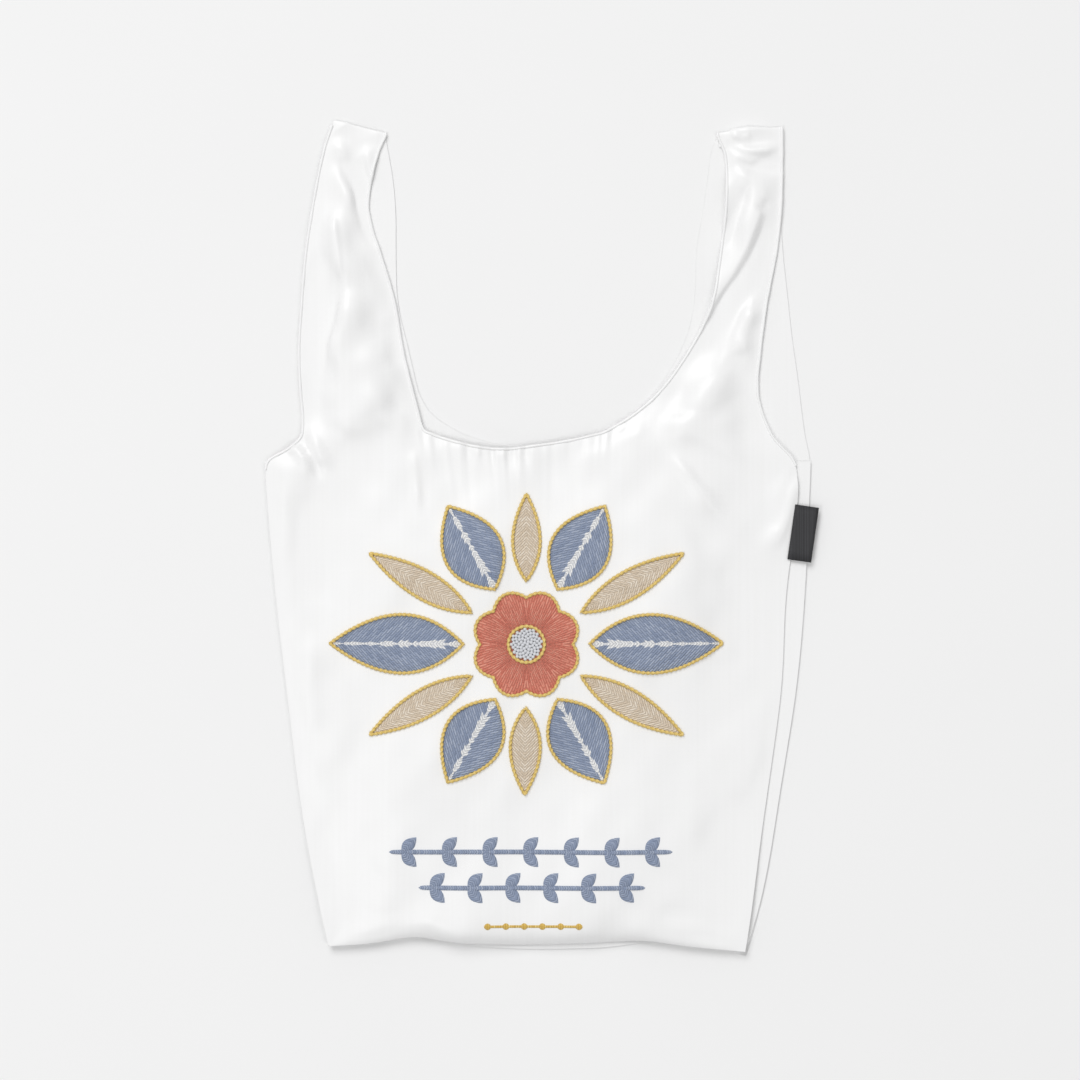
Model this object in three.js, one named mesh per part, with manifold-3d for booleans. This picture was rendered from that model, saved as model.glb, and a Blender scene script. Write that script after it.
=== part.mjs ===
// Organza shopping bag with two handle loops, lying flat on its back
// Millimetres. X runs to the right, Y towards the handles, Z up out of the front.
import * as THREE from "three";
import { mergeGeometries, mergeVertices } from "three/addons/utils/BufferGeometryUtils.js";
import Module from "manifold-3d";

const wasm = await Module();
wasm.setup();

// Driving sizes of the bag
const bodyWidth = 364.7; // across the two armhole corners
const bodyHeight = 326; // from the bottom seam to the armhole corners
const strapRise = 225.5; // from the armhole corners to the fold at the top of a handle
const strapWidth = 53; // one handle band
const wall = 1; // thickness of the cloth
const clearance = 0.3; // left between two pieces that are sewn together
const backInset = 1.5; // how far the back's left edge hides behind the front's
const gussetDepth = 60; // how far each side band is folded inwards
const gussetSpace = 1.6; // open height inside a folded side band
const crown = 7; // how far the middle of the front stands above its sides
const handleSpace = 6; // open height between the front and back bands of a handle
const strapCrown = 1.8; // how far the middle of a handle band stands above its edges
const turnDown = 14; // height over which the front turns down to the bottom seam
const foldBulge = 2.2; // how far the fold at the top of a handle stands out
const tuckLength = 7; // cloth turned under at the top of a handle
const foldHeightUnit = 3; // height of a fold whose share is 1
const gatherHeight = 0.6; // gathers under the neck hem
const gatherLength = 12;
const gatherCount = 8;
const hemWidth = 4;
const hemThickness = 0.8;
const labelWidth = 16;
const labelLength = 37;
const labelThickness = 0.8;
const labelOverlap = 2; // how far the label lies on the front's edge
const threadHeight = 0.8; // thickness of the embroidery

// Driving sizes of the embroidery
const designWidth = 262;
const designHeight = 200;
const bloomRadius = 38;
const bloomNotch = 5; // depth of the notches between petals
const heartRadius = 12;
const motifGap = 4; // bare cloth between neighbouring motifs, where the outlines lie
const blueLeafWidth = 40;
const beigeLeafWidth = 19;
const vineStem = 3.2;
const vineLeafLength = 14;
const vineLeafWidth = 8;
const vinePitch = 24;
const upperVineLength = 189;
const lowerVineLength = 151;
const goldRowLength = 60;
const goldBeadRadius = 2.6;
const goldBeadPitch = 12;

// Heights of the middle of each layer
const halfWidth = bodyWidth / 2;
const layerStep = wall + clearance;
const backLevel = wall / 2;
const gussetLow = backLevel + layerStep;
const gussetHigh = gussetLow + wall + gussetSpace;
const rim = gussetHigh + layerStep;
const seamLow = backLevel + layerStep;
const strapLevel = wall + handleSpace + wall / 2;

// Grid of the cloth: columns across and rows up
const frontGrid = {
  strapColumns: 8,
  neckColumns: 2 * gatherCount,
  bodyRows: 17,
  turnRows: 3,
  neckRows: 2,
  strapRows: 17,
};
const backGrid = {
  strapColumns: 3,
  neckColumns: gatherCount,
  bodyRows: 9,
  turnRows: 0,
  neckRows: 2,
  strapRows: 15,
};
const foldRows = 6;
const gussetRows = 10;
const gussetBendColumns = 4;
const turnCrowding = 1.7; // how much closer the lowest rows lie where the front turns down
const strapBlendShare = 0.36; // share of the strap rise over which the body's form becomes the strap's
const seamEase = 1.6; // reach of the seam's rise beside the side bands, a share of the turn
const foldTurnShare = 0.75; // share of the top fold's rows that turn, before the tucked cloth
const mergeDistance = 0.001; // corners nearer than this are one
const leafBelly = 0.42; // where a leaf is widest, a share of its length
const vineLean = Math.PI / 4; // angle between a vine's leaves and its stem
const beadThreadWidth = 1.8;

// Side edges of the body: up is a share of the body height, out a share of half the body width
const frontLeftSide = [
  { up: 0, out: -0.766 },
  { up: 0.1, out: -0.806 },
  { up: 0.28, out: -0.865 },
  { up: 0.53, out: -0.92 },
  { up: 0.67, out: -0.95 },
  { up: 0.86, out: -0.983 },
  { up: 1, out: -1 },
];
const frontRightSide = [
  { up: 0, out: 0.758 },
  { up: 0.08, out: 0.781 },
  { up: 0.235, out: 0.817 },
  { up: 0.39, out: 0.857 },
  { up: 0.55, out: 0.894 },
  { up: 0.72, out: 0.906 },
  { up: 0.83, out: 0.932 },
  { up: 0.92, out: 0.954 },
  { up: 1, out: 0.945 },
];
const backRightSide = [
  { up: 0, out: 0.764 },
  { up: 0.055, out: 0.799 },
  { up: 0.175, out: 0.846 },
  { up: 0.335, out: 0.89 },
  { up: 0.52, out: 0.945 },
  { up: 0.64, out: 0.967 },
  { up: 0.79, out: 0.985 },
  { up: 1, out: 1 },
];

// Bottom edges: across is a share of the way from left to right, up a share of the body height
const frontBottom = [
  { across: 0, up: 0.008 },
  { across: 0.1, up: 0.014 },
  { across: 0.21, up: 0.028 },
  { across: 0.3, up: 0.014 },
  { across: 0.45, up: 0.01 },
  { across: 0.62, up: 0.013 },
  { across: 0.77, up: 0.019 },
  { across: 0.85, up: 0.009 },
  { across: 1, up: -0.004 },
];
const backBottom = [
  { across: 0, up: 0.006 },
  { across: 0.1, up: 0.014 },
  { across: 0.21, up: 0.026 },
  { across: 0.32, up: 0.008 },
  { across: 0.47, up: 0 },
  { across: 0.72, up: 0.005 },
  { across: 0.78, up: 0.015 },
  { across: 0.86, up: 0.004 },
  { across: 1, up: -0.014 },
];

// Sections of a handle band, from the armhole corner to the top fold
// up: height of the outer end, a share of the strap rise. out: its place, a share of half the body width.
// wide: a share of the strap width. slope: how much higher the inner end is, a share of the strap rise.
const frontLeftStrap = [
  { up: 0, out: -1, wide: 2.04, slope: 0 },
  { up: 0.026, out: -0.927, wide: 1.76, slope: 0.018 },
  { up: 0.076, out: -0.861, wide: 1.51, slope: 0.014 },
  { up: 0.178, out: -0.868, wide: 1.43, slope: 0.006 },
  { up: 0.325, out: -0.876, wide: 1.31, slope: 0 },
  { up: 0.471, out: -0.865, wide: 1.16, slope: 0.008 },
  { up: 0.617, out: -0.85, wide: 0.94, slope: -0.006 },
  { up: 0.749, out: -0.825, wide: 0.69, slope: -0.003 },
  { up: 0.865, out: -0.799, wide: 0.67, slope: 0 },
  { up: 0.953, out: -0.773, wide: 0.67, slope: -0.017 },
  { up: 1, out: -0.751, wide: 0.655, slope: -0.038 },
];
const frontRightStrap = [
  { up: 0, out: 0.945, wide: 2.39, slope: 0 },
  { up: 0.047, out: 0.876, wide: 2.15, slope: -0.003 },
  { up: 0.135, out: 0.824, wide: 1.99, slope: -0.05 },
  { up: 0.208, out: 0.803, wide: 1.48, slope: -0.061 },
  { up: 0.295, out: 0.81, wide: 1.14, slope: -0.061 },
  { up: 0.398, out: 0.824, wide: 0.84, slope: -0.038 },
  { up: 0.482, out: 0.839, wide: 0.69, slope: -0.02 },
  { up: 0.617, out: 0.872, wide: 0.7, slope: -0.015 },
  { up: 0.749, out: 0.89, wide: 0.69, slope: -0.006 },
  { up: 0.865, out: 0.894, wide: 0.69, slope: 0 },
  { up: 0.944, out: 0.894, wide: 0.73, slope: -0.012 },
  { up: 0.98, out: 0.894, wide: 0.805, slope: -0.018 },
];
const backLeftStrap = [
  { up: 0, out: -1, wide: 2.18, slope: 0 },
  { up: 0.026, out: -0.927, wide: 1.94, slope: 0.035 },
  { up: 0.072, out: -0.862, wide: 1.7, slope: 0.047 },
  { up: 0.178, out: -0.869, wide: 1.5, slope: -0.006 },
  { up: 0.325, out: -0.876, wide: 1.36, slope: 0 },
  { up: 0.471, out: -0.866, wide: 1.18, slope: 0 },
  { up: 0.617, out: -0.852, wide: 1.11, slope: 0 },
  { up: 0.749, out: -0.827, wide: 1.02, slope: 0 },
  { up: 0.865, out: -0.801, wide: 0.88, slope: 0 },
  { up: 0.944, out: -0.777, wide: 0.75, slope: -0.023 },
  { up: 0.994, out: -0.756, wide: 0.65, slope: -0.036 },
];
const backRightStrap = [
  { up: 0, out: 1, wide: 2.35, slope: 0 },
  { up: 0.061, out: 0.982, wide: 2.29, slope: -0.003 },
  { up: 0.149, out: 0.967, wide: 2.24, slope: -0.032 },
  { up: 0.251, out: 0.952, wide: 1.81, slope: -0.053 },
  { up: 0.368, out: 0.931, wide: 1.37, slope: -0.029 },
  { up: 0.485, out: 0.916, wide: 1.17, slope: -0.015 },
  { up: 0.617, out: 0.898, wide: 1.09, slope: 0 },
  { up: 0.749, out: 0.89, wide: 0.97, slope: 0 },
  { up: 0.865, out: 0.893, wide: 0.91, slope: 0 },
  { up: 0.939, out: 0.893, wide: 0.88, slope: -0.006 },
  { up: 0.976, out: 0.893, wide: 0.82, slope: -0.018 },
];

// Necklines: across is a share of the way between the handles, up a share of the strap rise
const frontNeck = [
  { across: 0, up: 0.09 },
  { across: 0.12, up: 0.066 },
  { across: 0.3, up: 0.042 },
  { across: 0.45, up: 0.035 },
  { across: 0.6, up: 0.044 },
  { across: 0.8, up: 0.06 },
  { across: 1, up: 0.085 },
];
const backNeck = [
  { across: 0, up: 0.119 },
  { across: 0.12, up: 0.08 },
  { across: 0.3, up: 0.052 },
  { across: 0.45, up: 0.039 },
  { across: 0.6, up: 0.046 },
  { across: 0.8, up: 0.072 },
  { across: 1, up: 0.117 },
];

// Folds of the front: out is a share of half the body width. up runs from 0 to 1 over the body height and
// on to 2 over the strap rise. width is a share of the strap width, height a share of the fold height.
const folds = [
  { out: -0.726, up: 1.91, toOut: -0.6, toUp: 1.66, width: 0.13, height: -0.7 },
  { out: -0.73, up: 1.93, toOut: -0.66, toUp: 1.8, width: 0.1, height: 0.6 },
  { out: -0.74, up: 1.71, toOut: -0.72, toUp: 1.54, width: 0.14, height: 0.5 },
  { out: -0.733, up: 1.53, toOut: -0.83, toUp: 1.27, width: 0.2, height: -0.8 },
  { out: -0.53, up: 1.38, toOut: -0.53, toUp: 1.3, width: 0.2, height: -0.4 },
  { out: -0.9, up: 1.03, toOut: -0.82, toUp: 0.96, width: 0.18, height: 0.8 },
  { out: -0.84, up: 0.92, toOut: -0.8, toUp: 0.74, width: 0.3, height: -0.7 },
  { out: -0.45, up: 1.02, toOut: -0.46, toUp: 0.91, width: 0.16, height: 0.5 },
  { out: 0.58, up: 1.35, toOut: 0.72, toUp: 1.56, width: 0.13, height: -0.7 },
  { out: 0.72, up: 1.56, toOut: 0.86, toUp: 1.78, width: 0.13, height: -0.7 },
  { out: 0.755, up: 1.49, toOut: 0.67, toUp: 1.27, width: 0.16, height: -0.7 },
  { out: 0.74, up: 1.41, toOut: 0.73, toUp: 1.34, width: 0.14, height: 0.7 },
  { out: 0.73, up: 1.27, toOut: 0.77, toUp: 1.1, width: 0.2, height: -0.8 },
  { out: 0.48, up: 1.12, toOut: 0.77, toUp: 1.05, width: 0.18, height: 0.7 },
  { out: 0.755, up: 1.81, toOut: 0.69, toUp: 1.71, width: 0.12, height: -0.6 },
  { out: 0.5, up: 1.01, toOut: 0.66, toUp: 0.9, width: 0.18, height: 0.9 },
  { out: 0.66, up: 0.9, toOut: 0.8, toUp: 0.83, width: 0.18, height: 0.9 },
  { out: 0.95, up: 0.96, toOut: 0.88, toUp: 0.83, width: 0.16, height: 0.7 },
  { out: 0.88, up: 0.83, toOut: 0.8, toUp: 0.83, width: 0.16, height: 0.9 },
  { out: 0.6, up: 0.86, toOut: 0.56, toUp: 0.8, width: 0.4, height: -0.7 },
  { out: 0.74, up: 0.76, toOut: 0.74, toUp: 0.62, width: 0.3, height: -0.8 },
  { out: -0.79, up: 0.2, toOut: -0.76, toUp: 0.1, width: 0.25, height: -0.7 },
  { out: 0.74, up: 0.22, toOut: 0.73, toUp: 0.1, width: 0.25, height: -0.7 },
  { out: -0.44, up: 0.07, toOut: -0.42, toUp: 0.02, width: 0.5, height: -0.6 },
  { out: 0.45, up: 0.06, toOut: 0.6, toUp: 0.02, width: 0.4, height: -0.6 },
];

// Where the motifs of the embroidery sit, in the same shares as the folds
const designSpot = { out: -0.042, up: 0.626 };
const upperVineSpot = { out: -0.026, up: 0.202 };
const lowerVineSpot = { out: -0.022, up: 0.129 };
const goldRowSpot = { out: -0.017, up: 0.05 };
const labelSpot = 0.855;
const leafCount = 6;
const petalCount = 8;

// Reads a smooth value from a table at a place along one of its columns
function readTable(rows, along, at, column) {
  const last = rows.length - 1;
  const after = rows.findIndex((row) => row[along] >= at);
  const end = after < 0 ? last : Math.max(after, 1);
  const slope = (index) => {
    const low = rows[Math.max(index - 1, 0)];
    const high = rows[Math.min(index + 1, last)];
    return (high[column] - low[column]) / (high[along] - low[along]);
  };
  const start = rows[end - 1];
  const stop = rows[end];
  const span = stop[along] - start[along];
  const t = THREE.MathUtils.clamp((at - start[along]) / span, 0, 1);
  const rise = t * t * (3 - 2 * t);
  const bend = t * (1 - t) * span;
  const middle = start[column] + (stop[column] - start[column]) * rise;
  return middle + bend * ((1 - t) * slope(end - 1) - t * slope(end));
}

// Height on the sheet of an up share: 0 to 1 over the body, 1 to 2 over the straps
function heightOf(up) {
  return up <= 1 ? up * bodyHeight : bodyHeight + (up - 1) * strapRise;
}

function spot(out, up) {
  return new THREE.Vector2(out * halfWidth, heightOf(up));
}

// Outline of one sheet: its sides, bottom, neckline and straps as functions that return plane points
// inset moves its left edge inwards
function outline(parts) {
  const side = (rows, end, inset) => (share) => {
    const low = readTable(parts.bottom, "across", end, "up") * bodyHeight;
    const x = readTable(rows, "up", share, "out") * halfWidth;
    return new THREE.Vector2(x + inset, low + (bodyHeight - low) * share);
  };
  const outer = (rows, inset) => (up) => {
    const x = readTable(rows, "up", up, "out") * halfWidth;
    return new THREE.Vector2(x + inset, bodyHeight + up * strapRise);
  };
  const inner = (rows, inset, sign) => (up) => {
    const point = outer(rows, inset)(up);
    point.x -= sign * readTable(rows, "up", up, "wide") * strapWidth;
    point.y += readTable(rows, "up", up, "slope") * strapRise;
    return point;
  };
  return {
    left: side(parts.left, 0, parts.inset),
    right: side(parts.right, 1, 0),
    bottom: parts.bottom,
    neck: parts.neck,
    leftOuter: outer(parts.leftStrap, parts.inset),
    leftInner: inner(parts.leftStrap, parts.inset, -1),
    rightOuter: outer(parts.rightStrap, 0),
    rightInner: inner(parts.rightStrap, 0, 1),
    leftTop: parts.leftStrap.at(-1).up,
    rightTop: parts.rightStrap.at(-1).up,
    leftNeck: parts.leftStrap[2].up,
    rightNeck: parts.rightStrap[2].up,
  };
}

const frontOutline = outline({
  left: frontLeftSide,
  right: frontRightSide,
  bottom: frontBottom,
  neck: frontNeck,
  leftStrap: frontLeftStrap,
  rightStrap: frontRightStrap,
  inset: 0,
});
const backOutline = outline({
  left: frontLeftSide,
  right: backRightSide,
  bottom: backBottom,
  neck: backNeck,
  leftStrap: backLeftStrap,
  rightStrap: backRightStrap,
  inset: backInset,
});

// A plane patch whose four borders are given as functions
function coons(left, right, bottom, top) {
  return (u, v) => {
    const across = left(v).lerp(right(v), u);
    const upward = bottom(u).lerp(top(u), v);
    const lowSide = bottom(0).lerp(bottom(1), u);
    const highSide = top(0).lerp(top(1), u);
    return across.add(upward).sub(lowSide.lerp(highSide, v));
  };
}

// Share of a row of columns at which the left strap ends and the right strap starts
function columnSplits(grid) {
  const total = 2 * grid.strapColumns + grid.neckColumns;
  return [grid.strapColumns / total, 1 - grid.strapColumns / total, total];
}

// The line between the armhole corners, bent only where the straps start
function cornerLine(shape, grid) {
  const [first, second] = columnSplits(grid);
  const stops = [shape.left(1), shape.leftInner(0), shape.rightInner(0), shape.right(1)];
  return (share) => {
    if (share <= first) {
      return stops[0].clone().lerp(stops[1], share / first);
    }
    if (share <= second) {
      return stops[1].clone().lerp(stops[2], (share - first) / (second - first));
    }
    return stops[2].clone().lerp(stops[3], (share - second) / (1 - second));
  };
}

// Share across the body, from its left edge to its right one, of a point on the corner line
function shareAcross(shape, line, share) {
  const left = shape.left(1).x;
  return (line(share).x - left) / (shape.right(1).x - left);
}

function arch(share) {
  return 1 - Math.abs(2 * THREE.MathUtils.clamp(share, 0, 1) - 1) ** 3;
}

// Height of the folds that cross a point of the front
function foldsAt(point) {
  const nearest = new THREE.Vector3();
  const place = lift(point, 0);
  let height = 0;
  for (const fold of folds) {
    const start = spot(fold.out, fold.up);
    const end = spot(fold.toOut, fold.toUp);
    const line = new THREE.Line3(lift(start, 0), lift(end, 0));
    line.closestPointToPoint(place, true, nearest);
    const away = nearest.distanceTo(place) / (fold.width * strapWidth);
    height += fold.height * foldHeightUnit * Math.exp(-away * away);
  }
  return height;
}

// Small gathers across the neck, one to every second column, that die out below the hem
function gathersAt(share, depth) {
  const inside = share > 0 && share < 1 ? arch(share) : 0;
  const wave = Math.cos(2 * Math.PI * gatherCount * share);
  return inside * gatherHeight * wave * Math.exp(-depth / gatherLength);
}

// Height of the front's middle layer over the body, before it turns down at the bottom
function bodyHeightAt(share, point) {
  const middle = arch(share);
  return rim + middle * (crown + foldsAt(point));
}

// Height at the bottom seam: on the folded side bands near the sides, on the back between them
function seamHeight(fromSide) {
  const ease = THREE.MathUtils.smoothstep(fromSide, gussetDepth + wall, gussetDepth + seamEase * turnDown);
  return THREE.MathUtils.lerp(rim, seamLow, ease);
}

// How far a point above the corners has passed from the body's form to the strap's
function strapBlend(point) {
  return THREE.MathUtils.smoothstep(point.y - bodyHeight, 0, strapRise * strapBlendShare);
}

function lift(point, height) {
  return new THREE.Vector3(point.x, point.y, height);
}

// A grid of cloth: place gives each corner of it, and the faces look up
function patch(columns, rows, place) {
  const geometry = new THREE.PlaneGeometry(1, 1, columns, rows);
  const corners = geometry.attributes.position;
  for (let index = 0; index < corners.count; index += 1) {
    const column = index % (columns + 1);
    const row = rows - Math.floor(index / (columns + 1));
    const point = place(column / columns, row / rows);
    corners.setXYZ(index, point.x, point.y, point.z);
  }
  geometry.deleteAttribute("normal");
  geometry.deleteAttribute("uv");
  return geometry;
}

function joined(patches) {
  return mergeVertices(mergeGeometries(patches), mergeDistance);
}

// The rows of a body, closer together where the bottom turns down
function rowShare(grid, v) {
  const turn = grid.turnRows / grid.bodyRows;
  const turnShare = turnDown / bodyHeight;
  if (turn === 0) {
    return v;
  }
  if (v < turn) {
    return turnShare * (v / turn) ** turnCrowding;
  }
  return turnShare + ((v - turn) / (1 - turn)) * (1 - turnShare);
}

// The body below the armhole corners, as a function from grid shares to plane points
function bodyPlane(shape, grid) {
  const line = cornerLine(shape, grid);
  return (u, v) => {
    const share = rowShare(grid, v);
    const across = shareAcross(shape, line, u);
    const low = readTable(shape.bottom, "across", across, "up") * bodyHeight;
    const lowBow = low - THREE.MathUtils.lerp(shape.left(0).y, shape.right(0).y, across);
    const highBow = line(u).y - THREE.MathUtils.lerp(line(0).y, line(1).y, across);
    const point = shape.left(share).lerp(shape.right(share), across);
    point.y += THREE.MathUtils.lerp(lowBow, highBow, share);
    return point;
  };
}

// The piece of sheet between the straps, under the neckline
function neckPlane(shape) {
  const left = (v) => shape.leftInner(v * shape.leftNeck);
  const right = (v) => shape.rightInner(v * shape.rightNeck);
  const low = (u) => left(0).lerp(right(0), u);
  const top = (u) => {
    const point = left(1).lerp(right(1), u);
    const ends = THREE.MathUtils.lerp(shape.neck[0].up, shape.neck.at(-1).up, u);
    point.y += (readTable(shape.neck, "across", u, "up") - ends) * strapRise;
    return point;
  };
  return coons(left, right, low, top);
}

// Height share along a strap for a row of its grid, so that its first rows meet the neck's
function strapUp(grid, v, neckUp, topUp) {
  const row = v * grid.strapRows;
  if (row <= grid.neckRows) {
    return (neckUp * row) / grid.neckRows;
  }
  return neckUp + ((row - grid.neckRows) / (grid.strapRows - grid.neckRows)) * (topUp - neckUp);
}

function strapPlane(shape, grid, side) {
  const neckUp = shape[side + "Neck"];
  const topUp = shape[side + "Top"];
  const outer = shape[side + "Outer"];
  const inner = shape[side + "Inner"];
  return (u, v) => {
    const up = strapUp(grid, v, neckUp, topUp);
    const [start, end] = side === "left" ? [outer(up), inner(up)] : [inner(up), outer(up)];
    return start.lerp(end, u);
  };
}

// The front sheet without the parts turned under at the top of its straps
function frontFacePatches() {
  const grid = frontGrid;
  const shape = frontOutline;
  const line = cornerLine(shape, grid);
  const [first, second, total] = columnSplits(grid);
  const body = bodyPlane(shape, grid);
  const neck = neckPlane(shape);
  const placeBody = (u, v) => {
    const point = body(u, v);
    const share = shareAcross(shape, line, u);
    const above = rowShare(grid, v) * bodyHeight;
    const width = shape.right(0).x - shape.left(0).x;
    const seam = seamHeight(Math.min(share, 1 - share) * width);
    const turn = Math.min(above / turnDown, 1);
    const gathers = gathersAt((u - first) / (second - first), bodyHeight - point.y);
    const full = bodyHeightAt(share, point) + gathers;
    return lift(point, seam + (full - seam) * Math.sqrt(1 - (1 - turn) ** 2));
  };
  const placeNeck = (u, v) => {
    const point = neck(u, v);
    const share = shareAcross(shape, line, first + (second - first) * u);
    const full = bodyHeightAt(share, point) + gathersAt(u, 0);
    return lift(point, THREE.MathUtils.lerp(full, strapLevel, strapBlend(point)));
  };
  return [
    patch(total, grid.bodyRows, placeBody),
    patch(grid.neckColumns, grid.neckRows, placeNeck),
    patch(grid.strapColumns, grid.strapRows, frontStrap("left")),
    patch(grid.strapColumns, grid.strapRows, frontStrap("right")),
  ];
}

// One front strap as a function from grid shares to points
function frontStrap(side) {
  const grid = frontGrid;
  const shape = frontOutline;
  const line = cornerLine(shape, grid);
  const [first, second] = columnSplits(grid);
  const plane = strapPlane(shape, grid, side);
  return (u, v) => {
    const point = plane(u, v);
    const column = side === "left" ? u * first : second + u * (1 - second);
    const share = shareAcross(shape, line, column);
    const band = strapLevel + arch(u) * (strapCrown + foldsAt(point));
    return lift(point, THREE.MathUtils.lerp(bodyHeightAt(share, point), band, strapBlend(point)));
  };
}

// The cloth that turns over the top of a front strap and lies on the back strap
function strapFold(side) {
  const strap = frontStrap(side);
  const plane = strapPlane(frontOutline, frontGrid, side);
  const edge = plane(1, 1).sub(plane(0, 1)).normalize();
  const upward = new THREE.Vector2(-edge.y, edge.x);
  return (u, v) => {
    const start = strap(u, 1);
    const angle = Math.PI * Math.min(v / foldTurnShare, 1);
    const under = Math.max(v - foldTurnShare, 0) / (1 - foldTurnShare);
    const reach = foldBulge * Math.sin(angle) - under * tuckLength;
    const height = THREE.MathUtils.lerp(start.z, seamLow, (1 - Math.cos(angle)) / 2);
    return new THREE.Vector3(start.x + upward.x * reach, start.y + upward.y * reach, height);
  };
}

function backPatches() {
  const grid = backGrid;
  const total = columnSplits(grid)[2];
  const flat = (plane) => (u, v) => lift(plane(u, v), backLevel);
  return [
    patch(total, grid.bodyRows, flat(bodyPlane(backOutline, grid))),
    patch(grid.neckColumns, grid.neckRows, flat(neckPlane(backOutline))),
    patch(grid.strapColumns, grid.strapRows, flat(strapPlane(backOutline, grid, "left"))),
    patch(grid.strapColumns, grid.strapRows, flat(strapPlane(backOutline, grid, "right"))),
  ];
}

// A side band folded inwards: from the front's edge to the inner fold and back out to the back's edge
function gussetPlace(side) {
  const sign = side === "left" ? -1 : 1;
  const flatEnd = 1 / (gussetBendColumns + 2);
  const bend = (gussetHigh - gussetLow) / 2;
  return (u, v) => {
    const front = frontOutline[side](v);
    const back = backOutline[side](v);
    const fold = front.x - sign * gussetDepth;
    const foldTurn = THREE.MathUtils.clamp((u - flatEnd) / (1 - 2 * flatEnd), 0, 1) * Math.PI;
    const outer = u < 0.5 ? front.x : back.x;
    const inward = Math.min(u, 1 - u, flatEnd) / flatEnd;
    const x = THREE.MathUtils.lerp(outer, fold, inward) - sign * bend * Math.sin(foldTurn);
    const y = THREE.MathUtils.lerp(gussetBottom(side, Math.abs(x - front.x)), bodyHeight, v);
    return new THREE.Vector3(x, y, (gussetHigh + gussetLow) / 2 + bend * Math.cos(foldTurn));
  };
}

// The bottom end of a side band follows the seam of the two sheets
function gussetBottom(side, inward) {
  const share = inward / (frontOutline.right(0).x - frontOutline.left(0).x);
  const across = side === "left" ? share : 1 - share;
  const front = readTable(frontOutline.bottom, "across", across, "up");
  const back = readTable(backOutline.bottom, "across", across, "up");
  return Math.max(front, back) * bodyHeight;
}

// Turns a sheet of faces into a closed wall between two distances from it
function thicken(surface, low, high) {
  surface.computeVertexNormals();
  const corners = surface.attributes.position;
  const normals = surface.attributes.normal;
  const count = corners.count;
  const points = [];
  for (const distance of [high, low]) {
    for (let index = 0; index < count; index += 1) {
      points.push(corners.getX(index) + normals.getX(index) * distance);
      points.push(corners.getY(index) + normals.getY(index) * distance);
      points.push(corners.getZ(index) + normals.getZ(index) * distance);
    }
  }
  const faces = [];
  const borders = new Map();
  const source = surface.index.array;
  for (let index = 0; index < source.length; index += 3) {
    const [a, b, c] = source.slice(index, index + 3);
    faces.push(a, b, c, a + count, c + count, b + count);
    for (const [from, to] of [[a, b], [b, c], [c, a]]) {
      if (!borders.delete(to + "," + from)) {
        borders.set(from + "," + to, [from, to]);
      }
    }
  }
  for (const [from, to] of borders.values()) {
    faces.push(from, from + count, to, to, from + count, to + count);
  }
  const geometry = new THREE.BufferGeometry();
  geometry.setAttribute("position", new THREE.BufferAttribute(new Float32Array(points), 3));
  geometry.setIndex(faces);
  return geometry;
}

function toSolid(geometry) {
  const vertProperties = new Float32Array(geometry.attributes.position.array);
  const triVerts = new Uint32Array(geometry.index.array);
  return new wasm.Manifold(new wasm.Mesh({ numProp: 3, vertProperties, triVerts }));
}

function toGeometry(solid) {
  const mesh = solid.getMesh();
  const geometry = new THREE.BufferGeometry();
  geometry.setAttribute("position", new THREE.BufferAttribute(mesh.vertProperties, 3));
  geometry.setIndex(new THREE.BufferAttribute(mesh.triVerts, 1));
  return geometry;
}

const frontSheet = joined([
  ...frontFacePatches(),
  patch(frontGrid.strapColumns, foldRows, strapFold("left")),
  patch(frontGrid.strapColumns, foldRows, strapFold("right")),
]);

// A layer that lies on the front at the clearance, as high as given: what is sewn on is cut from it
function layerOnFront(thickness) {
  const low = wall / 2 + clearance;
  return toSolid(thicken(joined(frontFacePatches()), low, low + thickness));
}

// A tall block on a plane outline, for cutting a shape out of a layer
function block(shape, curveSegments = 5) {
  const depth = 4 * (rim + crown);
  const geometry = new THREE.ExtrudeGeometry(shape, { depth, bevelEnabled: false, curveSegments });
  geometry.deleteAttribute("normal");
  geometry.deleteAttribute("uv");
  return toSolid(mergeVertices(geometry, mergeDistance));
}

const threadLayer = layerOnFront(threadHeight);
const hemLayer = layerOnFront(hemThickness);

// Outline of a leaf from its base to its tip, at an angle about a centre
function leafShape(centre, angle, start, end, width) {
  const along = new THREE.Vector2(Math.cos(angle), Math.sin(angle));
  const aside = new THREE.Vector2(-along.y, along.x);
  const at = (reach, side) => centre.clone().addScaledVector(along, reach).addScaledVector(aside, side);
  const belly = start + (end - start) * leafBelly;
  const shape = new THREE.Shape();
  const base = at(start, 0);
  const tip = at(end, 0);
  const leftBelly = at(belly, width);
  const rightBelly = at(belly, -width);
  shape.moveTo(base.x, base.y);
  shape.quadraticCurveTo(rightBelly.x, rightBelly.y, tip.x, tip.y);
  shape.quadraticCurveTo(leftBelly.x, leftBelly.y, base.x, base.y);
  return shape;
}

function discShape(centre, radius, sides) {
  const points = [];
  for (let index = 0; index < sides; index += 1) {
    const angle = (2 * Math.PI * index) / sides;
    points.push(new THREE.Vector2(radius * Math.cos(angle), radius * Math.sin(angle)).add(centre));
  }
  return new THREE.Shape(points);
}

// Outline of the bloom, with a round lobe for each petal
function bloomShape(centre) {
  const steps = petalCount * 5;
  const points = [];
  for (let index = 0; index < steps; index += 1) {
    const angle = (2 * Math.PI * index) / steps;
    const lobe = Math.abs(Math.sin((petalCount * angle) / 2));
    const radius = bloomRadius - bloomNotch * (1 - lobe);
    points.push(new THREE.Vector2(radius * Math.cos(angle), radius * Math.sin(angle)).add(centre));
  }
  return new THREE.Shape(points);
}

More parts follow.
